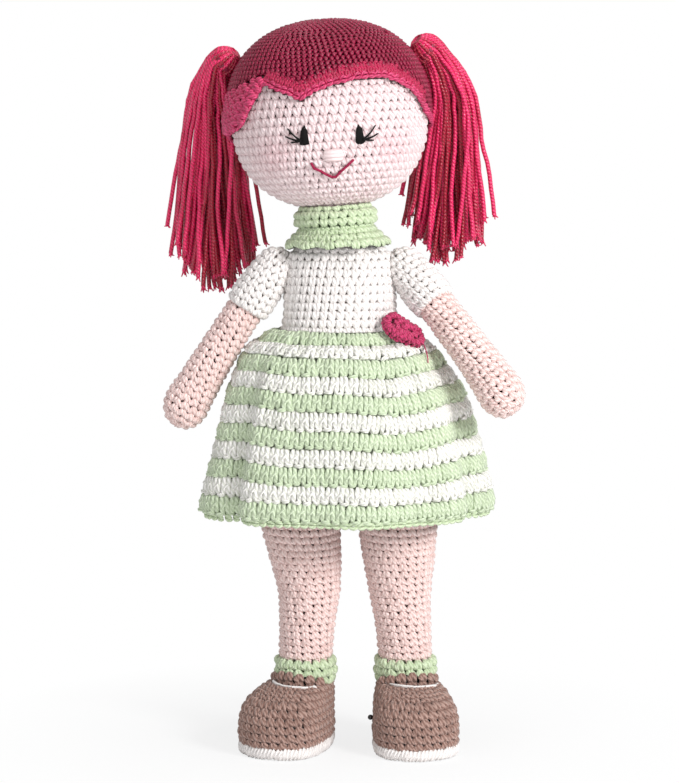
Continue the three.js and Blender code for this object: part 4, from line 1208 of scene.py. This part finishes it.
def bare_skin(place):
    """Not under the cap, nor inside the neck."""
    local = head_inverse @ place
    around_neck = hypot(local.x, local.y) > neck_radius - 0.002 or local.z > 0
    return local.z < cap_edge(local) + under_cap and around_neck


def head_skin(share, turn):
    return head_frame @ head_point(share, turn, -head_inset)


def blush(row, place):
    """Share of the redder colour of the cheeks."""
    local = head_inverse @ place
    away = min(hypot(local.x - x, local.z - cheek_height) for x in cheek_places)
    return 0.35 * max(0, 1 - away / cheek_radius) if local.y < 0 else 0.0


head = in_rounds(
    "head_knit", head_skin, skin_yarn, seed=27, sense=1,
    stitches={
        "tall": 0.0049, "wide": 0.0047, "first": 0.04, "last": 0.97, "slip": 0.25, "keep": bare_skin,
        "colour": blush,
    },
    behind={"inset": 0, "rows": 60, "sides": 72, "first": 0.03, "last": 0.97},
)
worn_by(head, "head", "skin_yarn", "head_cover")


# Face: eyes and lashes embroidered in black thread, a mouth in magenta thread, and a nose of
# a few skin yarn stitches laid side by side.
def sewn_piece(name, strands, finish, sides=6, steps=8):
    """Threads through places of the head's frame."""
    rows = [[(*(head_frame @ Vector(row[:3])), row[3]) for row in strand] for strand in strands]
    return new_piece(name, yarn_mesh(name, rows, sides, steps), finish)


black_thread = yarn("black thread", "0e0c0b", groove="2a2424", under="808080", twist=9000, bump=0.3, sheen=0)
mouth_thread = yarn(
    "magenta thread", "b8305c", groove="8c2044", under="808080", twist=9000, bump=0.3, sheen=0.1,
)
face_lift = 0.0016
eye_half_height = 0.0052
eye_thread_radius = 0.0006
lash_radius = 0.00062
lash_shares = ((1.66, 0.85, 0.16), (1.9, 0.0, 0.12), (1.35, -0.68, 0.02))
eyes = {"left": (-1, -0.0144, -0.0093), "right": (1, 0.0163, -0.0107)}
for side, (sign, middle_x, middle_z) in eyes.items():
    strands = []
    for k in range(7):
        low_x = middle_x - sign * (0.0023 - 0.00072 * k)
        high_x = middle_x - sign * (0.0014 - 0.00036 * k)
        top = middle_z + eye_half_height * (1 - 0.1 * abs(k - 2))
        low = middle_z - eye_half_height * (0.98 - 0.03 * abs(k - 3))
        lift = face_lift - 0.00006 * (k - 3) ** 2
        strand = []
        for t in (0, 0.12, 0.35, 0.65, 0.88, 1):
            x, z = low_x + (high_x - low_x) * t, low + (top - low) * t
            strand.append((*on_face(x, z, lift - 0.0012 * (2 * t - 1) ** 4), eye_thread_radius))
        strands.append(strand)
    root_x, root_z = middle_x + sign * 0.0014, middle_z - 0.0028
    for reach, rise, bow in lash_shares:
        tip_x, tip_z = middle_x + sign * reach * eye_half_height, middle_z + rise * eye_half_height
        strand = []
        for t in (0, 0.3, 0.6, 0.85, 1):
            x = root_x + (tip_x - root_x) * t
            z = root_z + (tip_z - root_z) * t - bow * eye_half_height * sin(pi * t)
            lift = face_lift + 0.0003 - 0.0016 * max(2 * t - 1, 0) ** 4
            strand.append((*on_face(x, z, lift), lash_radius - 0.0002 * t))
        strands.append(strand)
    eye = sewn_piece("eye_thread_" + side, strands, black_thread)
    worn_by(eye, "head", "black_thread", "eye_" + side)

mouth_thread_radius = 0.00078
mouth_points = [
    (-0.0111, -0.0249), (-0.0098, -0.0275), (-0.0066, -0.0291), (-0.0033, -0.0313), (-0.0004, -0.0329),
    (0.0017, -0.0328), (0.0044, -0.0302), (0.0078, -0.0276), (0.0113, -0.0246),
]
mouth_strands = []
for (x0, z0), (x1, z1) in zip(mouth_points, mouth_points[1:]):
    strand = []
    for t in (-0.12, 0.2, 0.5, 0.8, 1.12):
        spot = on_face(x0 + (x1 - x0) * t, z0 + (z1 - z0) * t, face_lift - 0.0004 * (2 * t - 1) ** 4)
        strand.append((*spot, mouth_thread_radius))
    mouth_strands.append(strand)
mouth = sewn_piece("mouth_thread_line", mouth_strands, mouth_thread)
worn_by(mouth, "head", "mouth_thread", "mouth_stitch")

nose_x = 0.0011
nose_z = -0.021
nose_half_width = 0.0048
nose_half_height = 0.003
nose_strand_radius = 0.0018
nose_strands = []
for level in (-0.6, 0, 0.6):
    half = nose_half_width * sqrt(1 - 0.7 * level * level)
    strand = []
    for t in (-1, -0.6, -0.2, 0.2, 0.6, 1):
        lift = 0.002 * (1 - t * t) * (1 - 0.5 * level * level) - 0.0003
        spot = on_face(nose_x + half * t, nose_z + nose_half_height * level, lift)
        strand.append((*spot, nose_strand_radius))
    nose_strands.append(strand)
# The nose's yarn is the skin yarn painted a little darker: painted shade on a nose that faces the light.
nose_yarn_with_painted_shade = yarn("nose yarn", "f6e2e2", second="f0bcc2", sheen=0.1, bump=0.4)
nose = sewn_piece("nose_stitches", nose_strands, nose_yarn_with_painted_shade, sides=10, steps=12)
worn_by(nose, "head", "skin_yarn", "nose")


# Hair cap: a fitted cap of finer magenta yarn, crocheted in small rounds from the crown down.
# Its edge is a lighter chain, with a band of tall stitches over the fringe, a lock on the left
# and a small knot of yarn.
cap_lift = 0.0024
edge_lift = 0.0026
fringe_from = -0.0325
fringe_to = 0.0525
fringe_back = -0.018
fringe_tall = 0.0068
lock_root = 0.022
lock_lift = 0.004
lock_steps = 24
small_stitch = pattern_object("small stitch", yarn_mesh("small stitch", [
    [(-0.16, -0.56, -0.22, 0.24), (-0.04, -0.1, 0.26, 0.42), (0.02, 0.5, -0.1, 0.30)],
    [(0.28, 0.30, -0.24, 0.16), (0.52, 0.45, 0.12, 0.26), (0.82, 0.36, -0.24, 0.16)],
], sides=5, steps=3))
cap_yarn = yarn(
    "magenta cap yarn", "a00a42", second="e0407c", groove="a0507c", under="640c2c", sheen=0, shine=0.42,
)
edge_yarn = yarn(
    "lighter magenta edge yarn", "ca2058", second="ee5a8e", groove="a85880", under="6c0c2c", sheen=0,
    shine=0.36,
)


def cap_skin(share, turn):
    return head_frame @ head_point(1 - share, turn, cap_lift)


def in_cap(place, margin=-0.0008):
    local = head_inverse @ place
    return local.z > cap_edge(local) + margin


side_line = [(rise * head_half_height, x * head_half_width) for x, rise in hairline_shares[:5]]
lock_lines = []
for j, low in enumerate((-0.001, -0.003, -0.0045, -0.005, -0.005, -0.005, -0.0045)):
    high = lock_root + 0.001 - 0.0014 * j
    points = []
    for k in range(lock_steps + 1):
        z = low + (high - low) * k / lock_steps
        lift = lock_lift - 0.0012 * max(1 - (high - z) / 0.01, 0)
        to_edge = acos(min(-between(side_line, z) / ((head_half_width + lift) * narrowing(z, lift)), 1))
        points.append(head_frame @ on_side(-pi + to_edge - 0.04 - 0.085 * j, z, lift))
    lock_lines.append(points)


def in_fine_rounds(place):
    """In the cap but clear of the band of tall stitches over the fringe and of the lock."""
    local = head_inverse @ place
    in_front = local.y < fringe_back and local.x > fringe_from
    over_fringe = in_front and local.z < cap_edge(local) + fringe_tall - 0.0022
    in_lock = local.x < fringe_from and min(
        (place - spot).length for line in lock_lines for spot in line
    ) < 0.0024
    return in_cap(place) and not over_fringe and not in_lock


cap_wall = wall("cap wall", cap_skin, inset=0.0009, rows=64, sides=108, sense=-1, first=0.002, last=0.75)
cap_shape = bmesh.new()
cap_shape.from_mesh(cap_wall)
outside = [f for f in cap_shape.faces if len(f.verts) > 8 or not in_cap(f.calc_center_median(), -0.0012)]
bmesh.ops.delete(cap_shape, geom=outside, context="FACES")
crown_rim = [
    edge for edge in cap_shape.edges
    if edge.is_boundary and min((head_inverse @ corner.co).z for corner in edge.verts) > 0.045
]
bmesh.ops.holes_fill(cap_shape, edges=crown_rim, sides=200)
bmesh.ops.solidify(cap_shape, geom=cap_shape.faces[:], thickness=0.0012)
cap_shape.to_mesh(cap_wall)
cap_shape.free()
crown_size = (0.0034, 0.0034, 0.003)
crown = [
    (cap_skin(0.003, 0), head_turned @ ringed(1, t, 0), out_of_head(0, 0, 1), crown_size, 0.0)
    for t in (0.3, 1.35, 2.4)
]
fine_rounds = lay_rounds(
    cap_skin, tall=0.0026, wide=0.003, sense=-1, first=0.01, last=0.75, keep=in_fine_rounds, slip=0.15,
)
cap = crocheted("cap_knit", fine_rounds + crown, small_stitch, cap_wall, cap_yarn, seed=29)
worn_by(cap, "head", "cap_yarn", "hair_cap")

hairline = [(x * head_half_width, z * head_half_height) for x, z in hairline_shares]
edge_steps = 60
edge_points, edge_outwards = [], []
for k in range(edge_steps + 1):
    place = k / edge_steps * (len(hairline) - 1)
    low = min(int(place), len(hairline) - 2)
    x, z = (a + (b - a) * (place - low) for a, b in zip(hairline[low], hairline[low + 1]))
    spot = on_face(x, z + 0.0006, edge_lift)
    edge_points.append(head_frame @ spot)
    edge_outwards.append(out_of_head(*spot))
for k in range(1, edge_steps):
    turn = pi * k / edge_steps
    height = back_edge
    for _ in range(4):
        spot = on_side(turn, height, edge_lift)
        height = back_edge - back_fall * spot.y + 0.0006
    spot.z = height
    edge_points.append(head_frame @ spot)
    edge_outwards.append(out_of_head(*spot))
edge_points.append(edge_points[0])
edge_outwards.append(edge_outwards[0])
edge_stitches = lay_along(edge_points, edge_outwards, length=0.004, width=0.0042, shades=(0.6, 0.6))
cap_chain = crocheted("cap_edge_chain", edge_stitches, chain_stitch, None, edge_yarn, seed=31)
worn_by(cap_chain, "head", "cap_yarn", "hair_cap")

fringe_steps = 80
fringe_points, fringe_outwards = [], []
for k in range(fringe_steps + 1):
    x = fringe_from + (fringe_to - fringe_from) * k / fringe_steps
    spot = on_face(x, between(hairline, x) + 0.0008 + fringe_tall / 2, edge_lift)
    fringe_points.append(head_frame @ spot)
    fringe_outwards.append(out_of_head(*spot))
fringe_stitches = [
    (place, across, outward, (wide, fringe_tall / 2 * 1.05, deep), shade)
    for place, across, outward, (wide, tall, deep), shade
    in lay_along(fringe_points, fringe_outwards, length=0.0033, width=0.0033)
]
fringe = crocheted(
    "fringe_stitches", fringe_stitches, tall_stitch, None, edge_yarn, seed=35, unevenness=0.09,
)
worn_by(fringe, "head", "cap_yarn", "hair_cap")

# The lock's stitches lean far towards the edge yarn's lighter second colour, most at their free end; this
# lightness is partly the yarn's own and partly painted light on a lock that faces away from the key lamp.
lock_stitches = []
for points in lock_lines:
    outwards = []
    for spot in points:
        local = head_inverse @ spot
        outwards.append(out_of_head(local.x, local.y, 0.3 * local.z))
    lock_stitches += lay_along(points, outwards, length=0.0046, width=0.0048, shades=(0.9, 0.4))
lock = crocheted("lock_stitches", lock_stitches, single_stitch, None, edge_yarn, seed=37, unevenness=0.1)
worn_by(lock, "head", "cap_yarn", "hair_cap")

knot_radius = 0.0005
knot_middle = on_face(0.0342, 0.0439, 0.0034)
knot_loop = [
    knot_middle + Vector((0.0013 * sin(2.3 * t), 0.001 * cos(3.1 * t), 0.0012 * cos(1.7 * t) + 0.0004))
    for t in range(8)
]
knot_rows = [[(*spot, knot_radius) for spot in knot_loop]]
cap_knot = sewn_piece("cap_knot", knot_rows, cap_yarn, sides=6, steps=30)
worn_by(cap_knot, "head", "cap_yarn")


# Pigtails: bundles of twisted yarn tied at the cap, that arch out of the tie and fall behind
# the shoulders, with loose frayed ends. Each strand is a tube swept along its own line.
pigtail_length = 0.126
pigtail_half_width = 0.029
pigtail_half_depth = 0.014
root_radius = 0.0078
strand_radius = 0.00128
strand_count = 96
strand_sides = 6
root_bulge = 0.0012
end_curl = 0.022
reach_share = {"left": 0.985, "right": 0.935}
fall_shares = [0, 0.033, 0.12, 0.24, 0.463, 0.743, 1]
back_shares = [0, 0.02, 0.055, 0.11, 0.18, 0.25, 0.285]
width_shares = [0.269, 0.275, 0.4, 0.5, 0.67, 0.86, 1]
depth_shares = [0.557, 0.565, 0.68, 0.75, 0.88, 0.95, 1]
out_shares = {
    "left": [0, 0.035, 0.05, 0.05, 0.05, 0.058, 0.058],
    "right": [0, 0.035, 0.085, 0.12, 0.121, 0.11, 0.094],
}
pigtail_root = {"left": Vector((-0.063811, 0.008, 0.387956)), "right": Vector((0.048087, 0.008, 0.394996))}
strand_wave = 0.0022
strand_kink = 0.0008
lock_pull = 0.0085
tie_radius = 0.0007
tie_winds = 3
tie_steps = 72
tie_sink = 0.0004
fray_radius = 0.0005
tie_half_height = 0.0013

swept = node_group("swept yarn", "GeometryNodeTree", (
    ("Lines", "Geometry"), ("Thickness", "Float", 0.001), ("Sides", "Int", 6), ("Yarn", "Material"),
), (("Strands", "Geometry"),))
given = wired(swept, "NodeGroupInput").outputs


def storing(geometry, label, value, kind="FLOAT"):
    """Geometry with an attribute on its points."""
    feeds = {"Geometry": geometry, "Name": label, "Value": value}
    return wired(swept, "GeometryNodeStoreNamedAttribute", feeds, data_type=kind).outputs[0]


line = wired(swept, "GeometryNodeMeshToCurve", {"Mesh": given["Lines"]})
measured = wired(swept, "GeometryNodeSplineParameter")
rail = storing(line.outputs[0], "run", measured.outputs["Length"])
circle = wired(swept, "GeometryNodeCurvePrimitiveCircle", {"Radius": 1, "Resolution": given["Sides"]})
spot = wired(swept, "GeometryNodeInputPosition")
profile = storing(circle.outputs["Curve"], "around", spot.outputs[0], "FLOAT_VECTOR")
scaled = wired(swept, "ShaderNodeMath", {
    0: stored(swept, "thick", "FLOAT"), 1: given["Thickness"],
}, operation="MULTIPLY")
tube = wired(swept, "GeometryNodeCurveToMesh", {
    "Fill Caps": True, "Curve": rail, "Profile Curve": profile, "Scale": scaled.outputs[0],
})
upward = wired(swept, "ShaderNodeCombineXYZ", {"Z": stored(swept, "run", "FLOAT")})
both = wired(swept, "ShaderNodeVectorMath", {0: stored(swept, "around"), 1: upward.outputs[0]})
with_yarn = storing(tube.outputs[0], "yarn", both.outputs[0], "FLOAT_VECTOR")
smooth = wired(swept, "GeometryNodeSetShadeSmooth", {"Geometry": storing(with_yarn, "surface", 1.0)})
apart = wired(swept, "GeometryNodeRealizeInstances", {0: smooth.outputs[0]})
hued = wired(swept, "GeometryNodeSetMaterial", {"Geometry": apart.outputs[0], "Material": given["Yarn"]})
wired(swept, "NodeGroupOutput", {0: hued.outputs[0]})


def swept_yarn(name, lines, thickness, finish):
    """One mesh of strands. Each line is a list of places with their thickness share and tone."""
    rows, edges = [], []
    for line in lines:
        edges += [(len(rows) + k, len(rows) + k + 1) for k in range(len(line) - 1)]
        rows += line
    mesh = bpy.data.meshes.new(name)
    mesh.from_pydata([row[0] for row in rows], edges, [])
    store(mesh, "thick", [row[1] for row in rows])
    store(mesh, "tone", [row[2] for row in rows])
    values = {"Thickness": thickness, "Sides": strand_sides, "Yarn": finish}
    return worked(new_piece(name, mesh), swept, values)


def waver(x, y, z, far):
    """Level shift by noise, with the second part taken far from the first."""
    return Vector((noise.noise(Vector((x, y, z))), noise.noise(Vector((x, y, far))), 0))


def square_to(ahead):
    """The two directions square to a way ahead: across it from side to side, and backwards."""
    backward = (Vector((0, 1, 0)) - ahead * ahead.y).normalized()
    return backward.cross(ahead), backward


# Its strong uneven tone also deepens the painted shade that the strands carry in their tone.
hair_yarn = yarn(
    "bright magenta hair yarn", "fb2a72", groove="b45880", under="808080", shine=0.5, twist=3000, bump=0.9,
    sheen=0.12, plies_count=2, uneven=2.2,
)
golden_angle = 2.39996
strand_steps = 24
for side, sign in (("left", -1), ("right", 1)):
    root = pigtail_root[side]
    path_rows = [
        (sign * out * pigtail_length, back * pigtail_length, -fall * pigtail_length,
         wide * pigtail_half_width, deep * pigtail_half_depth)
        for fall, back, out, wide, deep in zip(
            fall_shares, back_shares, out_shares[side], width_shares, depth_shares,
        )
    ]
    start = Vector(path_rows[1][:3]).normalized()
    wide_first, deep_first = square_to(start)
    over = Vector((0.35 * sign, -0.25, 0.9)).normalized()
    lines = []
    for k in range(strand_count):
        ring_share = sqrt((k + 0.5) / strand_count)
        a, b = ring_share * cos(golden_angle * k), ring_share * sin(golden_angle * k)
        drop = noise.noise(Vector((k * 3.7, 1.3, 0)))
        sway = noise.noise(Vector((k * 5.1, 7.7, 2)))
        # The strand's tone is random, with painted shade added: darker on the side towards the head, and
        # changing from front to back through the bundle.
        tone_and_shade = 0.5 + 1.3 * sway - 0.3 * b + 0.35 * max(sign * a, 0)
        out_of_tie = a * wide_first + b * deep_first
        over_share = max(out_of_tie.dot(over), 0)
        line = []
        # The points round the tie are a little darker: painted shade at the root.
        for tip, raised in ((25, 0.1), (50, 0.5), (72, 0.85)):
            centre = root - start * root_radius * cos(radians(tip)) + raised * root_bulge * over_share * over
            line.append((centre + root_radius * sin(radians(tip)) * out_of_tie, 0.85, tone_and_shade + 0.1))
        reach = reach_share[side] - 0.01 + 0.07 * drop + 0.04 * sway - 0.11 * a * a
        for j in range(strand_steps + 1):
            s = j / strand_steps * reach
            x, y, z, wide, deep = spline(path_rows, min(s, 1))
            beyond = max(s - 1, 0) * pigtail_length
            further = Vector(spline(path_rows, min(s + 0.02, 1))[:3])
            nearer = Vector(spline(path_rows, min(s, 1) - 0.02)[:3])
            ahead = start if j == 0 else (further - nearer).normalized()
            wide_way, deep_way = square_to(ahead)
            ripple = strand_wave * min(1.5 * s, 1) * waver(k * 2.3, s * 4.5, 0, 9)
            ripple += strand_kink * min(3 * s, 1) * waver(k * 4.1, s * 15, 5, 7)
            ripple += lock_pull * min(1.8 * s, 1) * waver(a * 3.2, b * 3.2, 3 + s, 8 + s)
            raised = root_bulge * over_share * max(1 - (s / 0.24) ** 2, 0)
            fuller = 1 - 0.06 * s
            spot = root + Vector((x, y, z - beyond)) + raised * over
            spot += wide * a * fuller * wide_way + deep * b * fuller * deep_way + ripple
            spot += Vector((0.02 * sway * max(s - 0.5, 0) ** 1.5, 0.01 * drop * max(s - 0.6, 0), 0))
            curl = Vector((cos(2.1 * k + 5 * s), sin(1.7 * k + 5 * s), 0))
            spot += end_curl * max(s - 0.72, 0) ** 1.5 * curl
            # Painted shade: each strand is a little darker over its first part near the root.
            line.append((spot, 0.85 + 0.15 * min(3 * s, 1), tone_and_shade + 0.1 * max(1 - s / 0.3, 0)))
        lines.append(line)
        end, before = line[-1][0], line[-2][0]
        fall = (end - before).normalized()
        for f in range(4):
            way = ringed(fray_radius, 1.6 * f + k, 0)
            spread_out = 1.6 + 0.8 * sin(k + 2 * f)
            tip = end + fall * (0.002 + 0.0012 * sin(3 * k + f)) + 2.2 * spread_out * way
            lines.append([
                (end - fall * 0.002 + way, 0.5, 0.2),
                (end + fall * 0.0008 + spread_out * way, 0.42, 0.2),
                (tip, 0.22, 0.2),
            ])
    pigtail = swept_yarn("pigtail_yarn_" + side, lines, strand_radius, hair_yarn)
    worn_by(pigtail, "pigtail_swing_" + side, "hair_yarn", "pigtail_" + side)

    tie_frame = Matrix.Translation(root) @ start.to_track_quat("Z", "Y").to_matrix().to_4x4()
    winding_rows = []
    for j in range(tie_steps + 1):
        turn = 2 * tie_winds * pi * j / tie_steps
        spot = ringed(root_radius - tie_sink, turn, tie_half_height * (2 * j / tie_steps - 1))
        winding_rows.append((tie_frame @ spot, 1.0, 0.5))
    tie = swept_yarn("pigtail_tie_yarn_" + side, [winding_rows], tie_radius, cap_yarn)
    worn_by(tie, "pigtail_swing_" + side, "cap_yarn", "pigtail_tie_" + side)


# Parts that stay as they are in the frame: twine at the hips and shoulders, the dowel in the
# neck, the stiff insoles and the bead on one shoe.
def plain(name, colour, rough, grain, scale, stretch=(1, 1, 1)):
    """Material with an even colour and a fine grain in its tone and surface."""
    finish, tree = finished(name, {"Roughness": rough})
    place = wired(tree, "ShaderNodeTexCoord").outputs["Object"]
    stretched = wired(tree, "ShaderNodeMapping", {"Vector": place, "Scale": stretch}).outputs[0]
    feeds = {"Vector": stretched, "Scale": scale, "Detail": 5}
    speckle = wired(tree, "ShaderNodeTexNoise", feeds).outputs["Fac"]
    light = paint(colour)
    dark = tuple((1 - grain) * c for c in light[:3]) + (1,)
    toned = wired(tree, "ShaderNodeMix", {0: speckle, 6: light, 7: dark}, data_type="RGBA").outputs[2]
    fed(tree, {"Base Color": toned, "Normal": bumpy(tree, speckle, 0.3, 0.0001)})
    return finish


twine = plain("white twine", "f1efe9", rough=0.8, grain=0.25, scale=900)
dowel_wood = plain("beech dowel", "c8a878", rough=0.5, grain=0.35, scale=500, stretch=(1, 1, 0.08))
insole_plastic = plain("grey insole plastic", "b9b4ac", rough=0.45, grain=0.1, scale=300)
bead_plastic = plain("black bead plastic", "1c1a1b", rough=0.15, grain=0.0, scale=300)
for node, finish in (
    ("hip_thread", twine), ("shoulder_thread_left", twine), ("shoulder_thread_right", twine),
    ("neck_dowel", dowel_wood), ("insole_left", insole_plastic), ("insole_right", insole_plastic),
    ("shoe_bead", bead_plastic),
):
    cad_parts[node].data.materials.clear()
    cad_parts[node].data.materials.append(finish)


# Fillings: polyester wadding packed into the head, body, arms and legs, lumpy where it was
# pushed in, and a little smaller than its cover.
wadding = plain("white polyester wadding", "f4f2ec", rough=0.95, grain=0.12, scale=250)
filling_voxel = 0.003
least_clump = 100
dent_depth = 0.0016
fine_dent_depth = 0.0005
least_dent_depth = 0.0004
stuffed = [(place + "_wadding", place, place + "_stuffing") for place in ("torso", "head")]
stuffed += [
    (limb + "_wadding_" + side, limb + "_" + side, limb + "_stuffing_" + side)
    for limb in ("arm", "leg") for side in ("left", "right")
]
for name, body, inside in stuffed:
    packed = bmesh.new()
    packed.from_mesh(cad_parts[inside].data)
    bmesh.ops.remove_doubles(packed, verts=packed.verts, dist=0.00001)
    lump = bpy.data.meshes.new(name)
    packed.to_mesh(lump)
    packed.free()
    lump.materials.clear()
    piece = new_piece(name, lump, wadding)
    remesh = piece.modifiers.new("even faces", "REMESH")
    remesh.mode = "VOXEL"
    remesh.voxel_size = filling_voxel
    lumpy = settled(piece, remesh).data
    shaped = bmesh.new()
    shaped.from_mesh(lumpy)
    unseen = set(shaped.verts)
    crumbs = []
    while unseen:
        clump = [unseen.pop()]
        for vertex in clump:
            joined = {edge.other_vert(vertex) for edge in vertex.link_edges} & unseen
            clump += joined
            unseen -= joined
        crumbs += clump if len(clump) < least_clump else []
    bmesh.ops.delete(shaped, geom=crumbs, context="VERTS")
    shaped.to_mesh(lumpy)
    shaped.free()
    for vertex in lumpy.vertices:
        depth = dent_depth * (0.6 + noise.noise(vertex.co * 90))
        depth += fine_dent_depth * (1 + noise.noise(vertex.co * 400))
        vertex.co -= vertex.normal * max(depth, least_dent_depth)
    lumpy.shade_smooth()
    worn_by(piece, body, "filling", inside)
